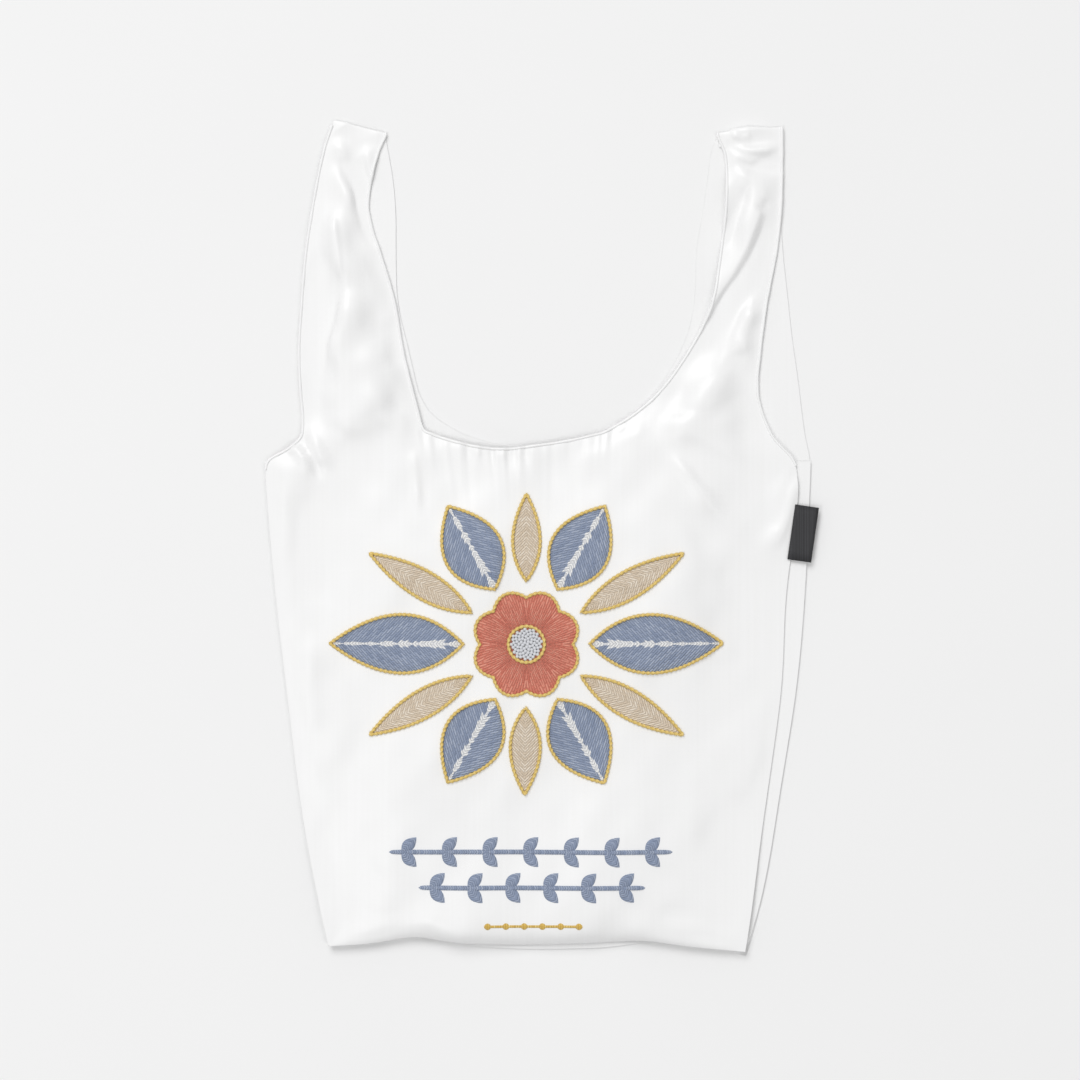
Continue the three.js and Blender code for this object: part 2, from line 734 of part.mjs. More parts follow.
// How far the design reaches from its centre at an angle
function designReach(angle) {
  const across = Math.cos(angle) / (designWidth / 2);
  const upward = Math.sin(angle) / (designHeight / 2);
  return 1 / Math.hypot(across, upward);
}

const materials = {
  organza: { color: 0xf7f6f2, roughness: 0.45 },
  red: { color: 0xb2543f, roughness: 0.6 },
  blue: { color: 0x6d7c97, roughness: 0.6 },
  beige: { color: 0xc9b698, roughness: 0.6 },
  white: { color: 0xf4f4f0, roughness: 0.6 },
  gold: { color: 0xd8b04a, roughness: 0.4 },
  black: { color: 0x1b1b1d, roughness: 0.6 },
};

const bag = new THREE.Group();

function addPiece(name, geometry, look) {
  const { color, roughness } = materials[look];
  const material = new THREE.MeshStandardMaterial({ color, roughness, metalness: 0 });
  const mesh = new THREE.Mesh(geometry, material);
  mesh.name = name;
  bag.add(mesh);
}

function addCloth() {
  addPiece("front_panel", thicken(frontSheet, -wall / 2, wall / 2), "organza");
  addPiece("back_panel", thicken(joined(backPatches()), -wall / 2, wall / 2), "organza");
  for (const side of ["left", "right"]) {
    const sheet = joined([patch(gussetBendColumns + 2, gussetRows, gussetPlace(side))]);
    addPiece("gusset_" + side, thicken(sheet, -wall / 2, wall / 2), "organza");
  }
}

// A strip that follows a line of plane points, wide on both sides of it
function stripShape(line, reach) {
  const offset = (index, side) => {
    const before = line[Math.max(index - 1, 0)];
    const after = line[Math.min(index + 1, line.length - 1)];
    const along = after.clone().sub(before).normalize();
    return line[index].clone().add(new THREE.Vector2(-along.y * side, along.x * side));
  };
  const there = line.map((point, index) => offset(index, reach));
  const back = line.map((point, index) => offset(index, -reach)).reverse();
  return new THREE.Shape([...there, ...back]);
}

// Points down an inner strap edge, along the neckline and up the other strap
function neckLine() {
  const neck = neckPlane(frontOutline);
  const strap = (side, inner) => {
    const points = [];
    for (let row = frontGrid.neckRows; row <= frontGrid.strapRows - 2; row += 1) {
      const plane = strapPlane(frontOutline, frontGrid, side);
      points.push(plane(inner, row / frontGrid.strapRows));
    }
    return points;
  };
  const middle = [];
  for (let column = 1; column < frontGrid.neckColumns; column += 1) {
    middle.push(neck(column / frontGrid.neckColumns, 1));
  }
  return [...strap("left", 1).reverse(), ...middle, ...strap("right", 0)];
}

// Points up the outer edge of a strap from the armhole corner
function armLine(side) {
  const plane = strapPlane(frontOutline, frontGrid, side);
  const points = [];
  for (let row = 0; row <= frontGrid.strapRows - 2; row += 1) {
    points.push(plane(side === "left" ? 0 : 1, row / frontGrid.strapRows));
  }
  return points;
}

function addHems() {
  addPiece("neck_hem", toGeometry(block(stripShape(neckLine(), hemWidth)).intersect(hemLayer)), "organza");
  for (const side of ["left", "right"]) {
    const strip = block(stripShape(armLine(side), hemWidth));
    addPiece("armhole_hem_" + side, toGeometry(strip.intersect(hemLayer)), "organza");
  }
}

function addThread(name, solid, look) {
  addPiece(name, toGeometry(solid.intersect(threadLayer)), look);
}

// The bloom with its pale heart, and a ring of leaves in two colours around it
function addDesign() {
  const centre = spot(designSpot.out, designSpot.up);
  const heart = block(discShape(centre, heartRadius, 20));
  const heartHole = block(discShape(centre, heartRadius + clearance, 20));
  addThread("bloom", block(bloomShape(centre)).subtract(heartHole), "red");
  addThread("bloom_heart", heart, "white");
  for (let index = 0; index < leafCount; index += 1) {
    const step = (2 * Math.PI) / leafCount;
    const start = bloomRadius + motifGap;
    const blue = step * index;
    const beige = step * (index + 0.5);
    const blueLeaf = leafShape(centre, blue, start, designReach(blue), blueLeafWidth);
    const beigeLeaf = leafShape(centre, beige, start, designReach(beige), beigeLeafWidth);
    addThread("leaf_blue_" + (index + 1), block(blueLeaf), "blue");
    addThread("leaf_beige_" + (index + 1), block(beigeLeaf), "beige");
  }
}

// A straight stem with small leaves in turn above and below it, fused into one piece
function vine(centre, length) {
  const half = length / 2;
  const ends = [new THREE.Vector2(centre.x - half, centre.y), new THREE.Vector2(centre.x + half, centre.y)];
  const count = Math.floor(length / vinePitch);
  let solid = block(stripShape(ends, vineStem / 2));
  for (let index = 0; index < count; index += 1) {
    const x = centre.x + (index + 0.5 - count / 2) * vinePitch;
    const foot = new THREE.Vector2(x, centre.y);
    for (const lean of [vineLean, -vineLean]) {
      solid = solid.add(block(leafShape(foot, lean, 0, vineLeafLength, vineLeafWidth), 2));
    }
  }
  return solid;
}

// Round gold beads on a thin thread
function beadRow(centre, length) {
  const half = length / 2;
  const ends = [new THREE.Vector2(centre.x - half, centre.y), new THREE.Vector2(centre.x + half, centre.y)];
  const count = Math.floor(length / goldBeadPitch) + 1;
  let solid = block(stripShape(ends, beadThreadWidth / 2));
  for (let index = 0; index < count; index += 1) {
    const x = centre.x + (index - (count - 1) / 2) * goldBeadPitch;
    solid = solid.add(block(discShape(new THREE.Vector2(x, centre.y), goldBeadRadius, 6)));
  }
  return solid;
}

function addOrnamentRows() {
  addThread("vine_upper", vine(spot(upperVineSpot.out, upperVineSpot.up), upperVineLength), "blue");
  addThread("vine_lower", vine(spot(lowerVineSpot.out, lowerVineSpot.up), lowerVineLength), "blue");
  addThread("gold_row", beadRow(spot(goldRowSpot.out, goldRowSpot.up), goldRowLength), "gold");
}

// The label lies on the edge of the front at the right seam and reaches past it
function addLabel() {
  const top = frontOutline.right(labelSpot + labelLength / 2 / bodyHeight);
  const low = frontOutline.right(labelSpot - labelLength / 2 / bodyHeight);
  const middle = top.clone().lerp(low, 0.5);
  const geometry = new THREE.BoxGeometry(labelWidth, labelLength, labelThickness);
  const height = rim + wall / 2 + 2 * clearance + labelThickness / 2;
  geometry.translate(labelWidth / 2 - labelOverlap, 0, 0);
  geometry.rotateZ(Math.atan2(top.y - low.y, top.x - low.x) - Math.PI / 2);
  geometry.translate(middle.x, middle.y, height);
  geometry.deleteAttribute("normal");
  geometry.deleteAttribute("uv");
  addPiece("side_label", mergeVertices(geometry, mergeDistance), "black");
}

addCloth();
addHems();
addDesign();
addOrnamentRows();
addLabel();

// The origin is under the middle of the bag, on the surface that it lies on
const box = new THREE.Box3().setFromObject(bag);
const centre = box.getCenter(new THREE.Vector3());
bag.position.set(-centre.x, -centre.y, -box.min.z);

export default bag;
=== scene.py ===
"""Dresses the flat-lying organza bag: cloth sheets, rolled hems, embroidery, label, stage."""

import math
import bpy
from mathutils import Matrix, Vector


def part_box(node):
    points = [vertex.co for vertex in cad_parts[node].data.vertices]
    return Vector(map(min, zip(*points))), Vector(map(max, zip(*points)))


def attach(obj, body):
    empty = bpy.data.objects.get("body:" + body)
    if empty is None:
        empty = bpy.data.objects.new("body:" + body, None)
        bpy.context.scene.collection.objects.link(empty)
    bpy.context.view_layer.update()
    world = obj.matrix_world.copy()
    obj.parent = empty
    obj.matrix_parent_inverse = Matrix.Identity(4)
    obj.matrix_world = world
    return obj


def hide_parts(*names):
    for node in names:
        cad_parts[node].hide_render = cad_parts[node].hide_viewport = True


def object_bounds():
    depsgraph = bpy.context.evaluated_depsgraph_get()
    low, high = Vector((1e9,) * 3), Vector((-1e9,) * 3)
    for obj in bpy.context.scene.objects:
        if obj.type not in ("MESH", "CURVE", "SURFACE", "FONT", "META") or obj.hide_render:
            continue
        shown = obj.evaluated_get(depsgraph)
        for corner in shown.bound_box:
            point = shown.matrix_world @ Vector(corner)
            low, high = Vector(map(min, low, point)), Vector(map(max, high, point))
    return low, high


bl_info = {
    "name": "Organza bag",
    "version": (1, 0, 0),
    "blender": (4, 5, 0),
    "location": "View3D > Sidebar > Bag",
    "description": "Makes the cloth, hems, embroidery and label of a flat-lying organza bag",
    "category": "Object",
}

import bmesh
import bpy
import numpy
from mathutils import Matrix, Vector, noise
from mathutils.bvhtree import BVHTree
from mathutils.kdtree import KDTree

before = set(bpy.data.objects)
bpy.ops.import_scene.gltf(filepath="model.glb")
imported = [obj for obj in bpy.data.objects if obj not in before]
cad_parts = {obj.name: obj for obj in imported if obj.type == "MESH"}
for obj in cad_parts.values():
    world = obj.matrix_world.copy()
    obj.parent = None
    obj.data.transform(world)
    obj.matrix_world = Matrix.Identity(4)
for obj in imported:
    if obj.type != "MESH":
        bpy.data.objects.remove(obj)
cad_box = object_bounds()

STITCH_MAP = "stitch"  # UV map in metres: along the stitched shape, and across it
MERGE_DISTANCE = 1e-6
SKIN_ANGLE = math.radians(60)  # a sharper edge than this ends a skin of cloth
QUAD_ANGLE = math.radians(75)
PARTS = 1000  # creases count places in thousandths of the bag's box, and widths in millimetres

# Cloth
FINE_FROM = 0.02  # this far up from the bag's middle the sheets' cells become finer
SHEET_LEVELS = 2
GUSSET_LEVELS = 3
FRONT_SEED = 0
BACK_SEED = 11
RIPPLE_SEED = 5  # added to a sheet's seed for its small waves
SHOULDER_REACH = 0.03  # over this height the space under the front becomes the handles' own
PRESS_RISE = 3  # how soon the press is full near a border
WAVE_COUNT = 9  # so many plain waves make one field of soft waves
WAVE_SPREAD = (0.9, 2.1)  # shortest and longest of them, as multiples of the wave length
WAVE_STRETCH = 1.5  # they are this much longer along the bag than across it
PATH_STEPS = 5  # straight steps between two points of a crease's path
CREASE_FADE = 0.3  # share of its length over which a crease fades out at each end
CREASE_UNEVEN = 0.25  # how much a crease's height varies along it
CREASE_TURN = 7  # how fast it varies
CREASE_SHIFT = 2.3  # keeps the creases from varying alike
GATHER_ROWS = (3.5, 8.5, 15.5)  # places in the noise for the gathers' wave, strength and reach
GATHER_STRENGTH = (1.6, 3)  # how much their strength varies, and over how many gathers
GATHER_REACH = (1.3, 1.7)  # the same for how far down they reach
GATHER_FAN = 0.25  # how much they fan out downwards
GATHER_CLIMB = 0.03  # they end this far above the neck's lowest place
GATHER_WIDTH = 1.1  # over 1 the gathers don't quite fade out at the hem's sides
SINK_SHARE = 0.7  # share of the free height that a fold may take up
LEAST_ROOM = 0.0001
BACK_HALF = 0.1  # the back's folds end this far from its middle
BACK_SOFT = 0.0008  # softens the change from lying flat to rising
HANDLE_RISE = 0.25  # share of its folds that the back keeps on the handles

# Hems and label
HEM_REACH = 0.003  # the sheet's border runs this close to its hem
HEM_CLIMB = 0.05  # a hem that ends this near the top runs on up to it
HEM_STEP = 0.0015
HEM_RING = 3  # how finely a hem's section is rounded
HEM_UNEVEN = 0.22  # share by which a hem's width varies
HEM_GRAIN = 160  # changes of a hem's width in a metre
LABEL_CUTS = 5
LABEL_PITCH = 0.0007  # distance between two threads of the label

# Embroidery. A grid is given by its cells along and across.
RAY_HEIGHT = 0.2  # rays that seat the embroidery start this high
LEAF_BELLY = 0.42  # how far along a leaf its curve is pulled out
LEAF_TIPS = 8  # how soon a leaf reaches its full height from its tips
LEAF_GRID = (48, 14)
DOME_POWER = 4  # the higher, the flatter a stitched shape's top
LEAF_COUNT = 6
PETALS = 8
PETAL_ROUND = 0.6  # under 1 a petal is fuller at its sides
PETAL_EDGE = 6  # how soon a petal reaches its full height from the rim
BLOOM_GRID = (192, 14)
BLOOM_INSIDE = 0.8  # the petals start at this share of the heart's radius
BLOOM_POINTS = 320
HEART_POINTS = 120
KNOT_COVER = 0.8  # share of the heart's area that its knots cover
KNOT_MARGIN = 1.3  # radii of a knot between its middle and the heart's rim
KNOT_LIFT = 0.4  # knots stand up by this share of their radius
CORD_LIFT = 0.55  # cords stand up by this share of their radius
HEART_CORD_LIFT = 0.5
ROPE_WAIST = 0.62  # width of the rope between its two threads, as a share of its full width
ROPE_CORNERS = 10
VINE_LEAF_GRID = (14, 8)
VINE_LEAF_BACK = 0.35  # share of its length by which a vine's leaf starts before its place
STEM_GRID = (100, 6)
STEM_BLUNT = 40  # the higher, the blunter the ends of a stem
BEADS = 6
BEAD_POWER = 3  # the higher, the flatter a bead's top
BEAD_GRID = (24, 5)
BEAD_THREAD_GRID = (60, 4)

# Stage
FLOOR_SHADE = 0.985  # the floor's darker spots, as a share of its colour
LAMP_TOP_PLACE = (-1.8, 4.0, 5.2)
LAMP_LEFT_PLACE = (-1.2, -0.8, 2.4)
LAMP_RIGHT_PLACE = (1.2, -0.8, 2.4)
SENSOR = 36  # width of the camera's sensor in millimetres
BAG_MIDDLE = 0.007  # middle height of the bag, where the frame's width is measured


# Sizes and colours that a user would change


def number(name, description, default, **limits):
    return bpy.props.FloatProperty(name=name, description=description, default=default, **limits)


def length(name, description, default):
    return number(name, description, default, min=0, precision=5, unit="LENGTH")


def offset(name, description, default):
    return number(name, description, default, precision=5, unit="LENGTH")


def share(name, description, default):
    return number(name, description, default, min=0, max=1)


def power(name, description, default):
    return number(name, description, default, min=0, unit="POWER")


def colour(name, description, default):
    return bpy.props.FloatVectorProperty(
        name=name, description=description, default=default, min=0, max=1, size=3, subtype="COLOR"
    )


class ClothSizes(bpy.types.PropertyGroup):
    thickness: length("Thickness", "Thickness of one sheet of organza", 0.0005)
    crease_height: length("Crease height", "Height of a crease whose height is 1", 0.0011)
    swell: length("Swell", "Height of the broad, soft waves in the cloth", 0.0034)
    swell_length: length("Swell length", "Distance between two broad waves", 0.065)
    ripple: length("Ripple", "Height of the small waves in the cloth", 0.001)
    ripple_length: length("Ripple length", "Distance between two small waves", 0.02)
    seam_reach: length("Seam reach", "Distance over which the waves fade out towards a border", 0.014)
    gather_height: length("Gather height", "Height of the gathers under the neck hem", 0.0011)
    gather_length: length("Gather length", "Length of the gathers under the neck hem", 0.009)
    gather_pitch: length("Gather pitch", "Distance between two gathers", 0.0088)
    body_press: share("Body press", "Share of their height that the layers keep at the body's sides", 0.4)
    handle_press: share("Handle press", "Share of its height that a handle keeps at its borders", 0.15)
    body_reach: length("Body reach", "How far the press reaches in from the body's borders", 0.04)
    handle_reach: length("Handle reach", "How far the press reaches in from a handle's borders", 0.015)
    full_rise: length("Full rise", "Up to this height from the bottom the border keeps its height", 0.075)
    hem_radius: length("Hem radius", "Radius of a rolled hem", 0.0009)
    hem_top_gap: length("Hem top gap", "How far below the top of a handle its hems end", 0.004)
    weave_pitch: length("Weave pitch", "Distance between two threads of the cloth", 0.0009)


class ThreadSizes(bpy.types.PropertyGroup):
    fill_rise: length("Fill rise", "How far filled shapes stand above the cloth", 0.0007)
    petal_rise: length("Petal rise", "How far a petal's middle stands above its sides", 0.0006)
    satin_rise: length("Satin rise", "How far satin shapes stand above the cloth", 0.0011)
    depth: length("Depth", "How far stitched shapes reach into the cloth", 0.0004)
    cord_radius: length("Cord radius", "Half the width of the twisted outline cord", 0.0013)
    cord_turn: length("Cord turn", "Length of one full turn of the outline cord", 0.0064)
    cord_step: length("Cord step", "Distance between two rings of the outline cord", 0.0008)
    knot_radius: length("Knot radius", "Radius of one knot in the heart of the bloom", 0.0012)
    fill_pitch: length("Fill pitch", "Distance between two threads of a fill", 0.002)
    satin_pitch: length("Satin pitch", "Distance between two threads of a satin shape", 0.0016)
    notch: length("Notch", "Depth of the notch between two petals", 0.005)
    stem_width: length("Stem width", "Width of a vine's stem", 0.0032)
    vine_leaf_length: length("Vine leaf length", "Length of a vine's leaf", 0.014)
    vine_leaf_width: length("Vine leaf width", "Width of a vine's leaf", 0.008)
    vine_pitch: length("Vine pitch", "Distance between two pairs of a vine's leaves", 0.024)
    bead_thread: length("Bead thread", "Half the width of the thread under the beads", 0.0009)
    bead_thread_rise: length("Bead thread rise", "How far that thread stands above the cloth", 0.0006)


class BagColours(bpy.types.PropertyGroup):
    cloth: colour("Cloth", "Organza", (0.905, 0.905, 0.906))
    cloth_shade: colour("Cloth shade", "Denser threads of the organza", (0.88, 0.879, 0.877))
    # The lighter red, blue, beige and gold colours are painted highlights on the stitches' crests (the
    # gold one also flecks the cord), and the darker ones also hold the painted shade in the grooves
    # between the stitches.
    red: colour("Red", "Brick red fill", (0.59, 0.152, 0.1))
    red_highlight: colour("Light red", "Lighter red stitches", (0.79, 0.315, 0.225))
    blue: colour("Blue", "Slate-blue fill", (0.225, 0.278, 0.4))
    blue_highlight: colour("Light blue", "Lighter blue stitches", (0.41, 0.465, 0.585))
    beige: colour("Beige", "Beige fill", (0.67, 0.55, 0.415))
    beige_highlight: colour("Light beige", "Lighter beige stitches", (0.89, 0.8, 0.68))
    white: colour("White", "White thread", (0.9, 0.9, 0.89))
    # Painted shade: the white stitches are painted in this grey-blue in the grooves between them.
    white_shade: colour("White shade", "White thread between the stitches", (0.66, 0.67, 0.7))
    gold: colour("Gold", "Gold thread", (0.66, 0.42, 0.07))
    gold_light: colour("Light gold", "Lit gold thread", (0.86, 0.68, 0.25))
    label: colour("Label", "Black woven label", (0.012, 0.012, 0.014))
    # Painted highlight on the crests of the label's woven threads.
    label_highlight: colour("Label threads", "Lighter threads of the label", (0.035, 0.035, 0.04))
    floor: colour("Floor", "Surface that the bag lies on", (0.89, 0.89, 0.89))


class StageSizes(bpy.types.PropertyGroup):
    floor_size: length("Floor size", "Side of the floor", 8.0)
    floor_gap: length("Floor gap", "Gap between the floor and the bag", 0.0003)
    camera_height: length("Camera height", "Height of the camera above the floor", 2.007)
    view_width: length("View width", "Width of the frame at the bag's middle height", 0.72)
    view_right: offset("View right", "Where the middle of the frame is, to the right", -0.0012)
    view_up: offset("View up", "Where the middle of the frame is, upwards", -0.0014)
    top_size: length("Top lamp size", "Side of the far lamp beyond the handles", 3.6)
    side_size: length("Side lamp size", "Side of each lamp at the sides", 0.9)
    top_power: power("Top power", "Power of the far lamp beyond the handles", 215.0)
    left_power: power("Left power", "Power of the lamp at the left", 10.0)
    right_power: power("Right power", "Power of the lamp at the right", 6.0)
    sky: number("Sky", "Strength of the even light from all around", 0.5, min=0)


# Creases. Places are thousandths of the bag's box: across from the left, up from the bottom.
# Each crease stands up by its height, or goes down where that is negative, as a multiple of
# the crease height. It fades over its left width and its right width, in millimetres, seen
# along its path.


def crease(height, left, right, *path):
    places = [(across / PARTS, up / PARTS) for across, up in path]
    return {"height": height, "left": left / PARTS, "right": right / PARTS, "path": places}


FRONT_CREASES = [
    # left handle
    crease(-5, 9, 5, (133, 968), (155, 932), (183, 887), (203, 845)),
    crease(2.6, 4, 6, (122, 978), (143, 958), (152, 925), (160, 885)),
    crease(1.4, 6, 3, (182, 975), (190, 935), (193, 905)),
    crease(1.8, 2, 5, (124, 892), (132, 850), (139, 806)),
    crease(-4, 5, 14, (139, 812), (122, 775), (104, 735), (92, 690)),
    crease(2.6, 12, 4.5, (152, 812), (138, 770), (120, 725), (108, 680)),
    crease(-1, 7, 8, (222, 765), (227, 730), (232, 695)),
    crease(1.5, 12, 12, (190, 740), (205, 690), (220, 640)),
    # left shoulder
    crease(2.2, 2.8, 3.2, (36, 613), (62, 602), (90, 573)),
    crease(-1.8, 3, 3, (60, 628), (82, 600), (106, 567)),
    crease(1.4, 3, 5, (78, 640), (98, 608), (128, 580)),
    crease(-2, 12, 10, (60, 560), (78, 500), (98, 420)),
    crease(1.6, 2.6, 4, (268, 607), (274, 575), (279, 530)),
    # right handle
    crease(-2.9, 3, 9, (772, 722), (821, 772), (857, 808), (888, 849), (915, 905)),
    crease(3, 9, 3.4, (762, 728), (811, 783), (846, 820), (876, 862), (902, 918)),
    crease(-1.9, 4.4, 3, (826, 842), (852, 880), (876, 928)),
    crease(1.8, 4, 5, (812, 862), (832, 905), (846, 945)),
    crease(-3, 2.8, 5, (846, 955), (875, 944), (905, 947), (940, 946)),
    crease(2.2, 3.4, 3, (836, 972), (880, 963), (935, 967)),
    crease(1.4, 2.4, 3, (838, 985), (862, 978), (880, 984)),
    crease(-1.3, 3.4, 3.4, (906, 905), (890, 888)),
    crease(-2.1, 6, 10, (902, 792), (868, 792), (846, 772), (828, 745), (808, 690)),
    crease(2.6, 6, 6, (884, 782), (868, 752), (856, 715)),
    crease(-1.3, 7, 9, (846, 715), (855, 672), (872, 643), (900, 630)),
    crease(1.1, 12, 10, (790, 700), (815, 665), (830, 650)),
    # right shoulder
    crease(-1.2, 5, 9, (706, 645), (775, 650), (838, 637), (890, 610)),
    crease(1.5, 6, 7, (715, 624), (780, 620), (835, 602), (875, 580)),
    crease(2.2, 3.6, 5, (722, 610), (785, 557), (821, 533), (857, 513), (885, 495)),
    crease(1.8, 3.4, 3.4, (978, 580), (958, 560), (945, 530), (932, 508), (908, 497), (880, 493)),
    crease(-1.8, 10, 8, (752, 545), (785, 508), (820, 478)),
    crease(-2, 10, 8, (815, 468), (860, 448), (900, 416)),
    crease(-1.4, 8, 7, (855, 385), (870, 365), (880, 345)),
    # bottom edge
    crease(0.6, 4, 4, (112, 31), (180, 34), (250, 40)),
    crease(-0.7, 5, 3, (118, 47), (190, 51), (262, 54)),
    crease(0.8, 3, 4, (700, 38), (780, 34), (860, 24)),
    crease(-0.7, 5, 4, (690, 55), (775, 51), (850, 43)),
    # lower sides and the creases that packing left
    crease(-1.6, 8, 8, (98, 160), (104, 110), (112, 50)),
    crease(-1.6, 8, 8, (862, 170), (858, 110), (852, 50)),
    crease(1.2, 7, 7, (82, 400), (86, 320), (90, 250)),
    crease(0.9, 2.2, 2.2, (677, 365), (780, 366), (885, 364)),
    crease(0.8, 2.2, 2.2, (587, 444), (650, 445), (715, 443)),
]

BACK_CREASES = [
    crease(2, 6, 8, (300, 590), (420, 550), (550, 555)),
    crease(1.8, 5, 8, (720, 580), (600, 460), (550, 340)),
    crease(1.8, 6, 7, (250, 500), (340, 380), (400, 240)),
    crease(1.6, 4, 6, (300, 300), (500, 310), (700, 295)),
    crease(1.6, 5, 6, (350, 100), (500, 140), (680, 110)),
]


# Mesh helpers


def shade(data):
    """Shades a mesh smooth, apart from the edges of walls."""
    data.shade_smooth()
    data.set_sharp_from_angle(angle=SKIN_ANGLE)


def put_in_scene(name, data):
    thing = bpy.data.objects.new(name, data)
    bpy.context.scene.collection.objects.link(thing)
    return thing


def new_piece(name, mesh, replaced, material):
    """Links a finished mesh as a named piece that rides on the bag."""
    data = bpy.data.meshes.new(name)
    mesh.to_mesh(data)
    mesh.free()
    shade(data)
    data.materials.append(bpy.data.materials[material])
    piece = put_in_scene(name, data)
    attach(piece, "root")
    if replaced:
        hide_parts(replaced)
    return piece


def baked(piece):
    """Applies all of a piece's modifiers."""
    graph = bpy.context.evaluated_depsgraph_get()
    data = bpy.data.meshes.new_from_object(
        piece.evaluated_get(graph), preserve_all_data_layers=True, depsgraph=graph
    )
    piece.modifiers.clear()
    piece.data = data
    data.name = piece.name


def open_mesh(data):
    mesh = bmesh.new()
    mesh.from_mesh(data)
    return mesh


def merge_doubles(mesh):
    bmesh.ops.remove_doubles(mesh, verts=mesh.verts, dist=MERGE_DISTANCE)


def node_copy(name):
    """A merged copy of a node of the bag."""
    mesh = open_mesh(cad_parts[name].data)
    merge_doubles(mesh)
    return mesh


def grown_skin(start):
    """All faces that join the first one without a sharp edge between them."""
    skin = {start}
    waiting = [start]
    while waiting:
        face = waiting.pop()
        for edge in face.edges:
            for other in edge.link_faces:
                if other not in skin and face.normal.angle(other.normal, 0) < SKIN_ANGLE:
                    skin.add(other)
                    waiting.append(other)
    return skin


def outer_skin(name, from_top):
    """The outer face of a wall of cloth, in quads."""
    mesh = node_copy(name)
    order = sorted(mesh.faces, key=lambda face: face.calc_center_median().z)
    skin = grown_skin(order[-1] if from_top else order[0])
    rest = [face for face in mesh.faces if face not in skin]
    bmesh.ops.delete(mesh, geom=rest, context="FACES")
    bmesh.ops.join_triangles(
        mesh, faces=mesh.faces, angle_face_threshold=QUAD_ANGLE, angle_shape_threshold=QUAD_ANGLE
    )
    return mesh


def refine(mesh):
    """Halves the cells in the bag's upper half, and in its lower half only their width."""
    chosen = []
    for edge in mesh.edges:
        first, second = [vertex.co for vertex in edge.verts]
        ends = first - second
        if (first.y + second.y) / 2 > FINE_FROM or abs(ends.x) > abs(ends.y):
            chosen.append(edge)
    bmesh.ops.subdivide_edges(mesh, edges=chosen, cuts=1, use_grid_fill=True)


def smooth_levels(piece, levels):
    rounding = piece.modifiers.new("rounding", "SUBSURF")
    rounding.levels = levels
    rounding.render_levels = levels
    rounding.boundary_smooth = "PRESERVE_CORNERS"
    baked(piece)


def cloth_piece(name, node, levels, *, from_top, fine):
    """A smooth sheet of cloth in the place of a node, still without its thickness."""
    skin = outer_skin(node, from_top)
    if fine:
        refine(skin)
    piece = new_piece(name, skin, node, "woven_organza")
    smooth_levels(piece, levels)
    return piece


def give_wall(piece, thickness):
    wall = piece.modifiers.new("wall", "SOLIDIFY")
    wall.thickness = thickness
    wall.offset = -1
    wall.use_even_offset = False
    baked(piece)
    shade(piece.data)


# Vertex moves on cloth


def vectors_of(piece, kind):
    """A vector for each point of a piece: co is its place, normal the way it faces."""
    flat = numpy.empty(len(piece.data.vertices) * 3)
    piece.data.vertices.foreach_get(kind, flat)
    return flat.reshape(-1, 3)


def put_spots(piece, spots):
    piece.data.vertices.foreach_set("co", spots.reshape(-1))
    piece.data.update()


def place(spot):
    """A share of the bag's box as a place in metres."""
    low, high = cad_box
    return numpy.array([low.x + (high.x - low.x) * spot[0], low.y + (high.y - low.y) * spot[1]])


def smooth_path(path, steps):
    """Places along a soft curve through the path's points."""
    points = [place(spot) for spot in path]
    points = [2 * points[0] - points[1], *points, 2 * points[-1] - points[-2]]
    spots = []
    for before, start, end, after in zip(points, points[1:], points[2:], points[3:]):
        for step in range(steps):
            t = step / steps
            bend = (end - before) * t + (2 * before - 5 * start + 4 * end - after) * t * t
            turn = (3 * start - before - 3 * end + after) * t**3
            spots.append(start + (bend + turn) / 2)
    return [*spots, points[-2]]


def path_reach(spots, path):
    """Signed distance of each spot from a path, and how far along the path it lies."""
    points = smooth_path(path, PATH_STEPS)
    steps = [numpy.linalg.norm(b - a) for a, b in zip(points, points[1:])]
    whole = sum(steps)
    nearest = numpy.full(len(spots), numpy.inf)
    side = numpy.ones(len(spots))
    along = numpy.zeros(len(spots))
    passed = 0
    for start, end, step in zip(points, points[1:], steps):
        direction = (end - start) / step
        offset = spots[:, :2] - start
        run = numpy.clip(offset @ direction, 0, step)
        away = offset - run[:, None] * direction
        distance = numpy.linalg.norm(away, axis=1)
        closer = distance < nearest
        turn = direction[0] * offset[:, 1] - direction[1] * offset[:, 0]
        nearest[closer] = distance[closer]
        side[closer] = numpy.sign(turn[closer])
        along[closer] = (passed + run[closer]) / whole
        passed += step
    return nearest, side, along


def creases_at(spots, creases, unit):
    moves = numpy.zeros(len(spots))
    for index, one in enumerate(creases):
        distance, side, along = path_reach(spots, one["path"])
        width = numpy.where(side > 0, one["left"], one["right"])
        uneven = 1 + CREASE_UNEVEN * numpy.sin(CREASE_TURN * along + CREASE_SHIFT * index)
        fade = eased(numpy.minimum(along, 1 - along), CREASE_FADE)
        moves += one["height"] * unit * uneven * fade * numpy.exp(-((distance / width) ** 2))
    return moves


def waves_at(spots, height, wave_length, seed):
    """Soft seeded waves in all directions, longer along the bag than across it."""
    random = numpy.random.default_rng(seed)
    moves = numpy.zeros(len(spots))
    for _ in range(WAVE_COUNT):
        angle = random.uniform(0, math.pi)
        pitch = wave_length * random.uniform(*WAVE_SPREAD)
        phase = random.uniform(0, 2 * math.pi)
        run = spots[:, 0] * math.cos(angle) + spots[:, 1] * math.sin(angle) / WAVE_STRETCH
        moves += numpy.sin(2 * math.pi * run / pitch + phase)
    return moves * height / (2 * math.sqrt(WAVE_COUNT))


def border_points(piece):
    mesh = open_mesh(piece.data)
    points = [v.co.copy() for v in mesh.verts if v.is_boundary]
    mesh.free()
    return points


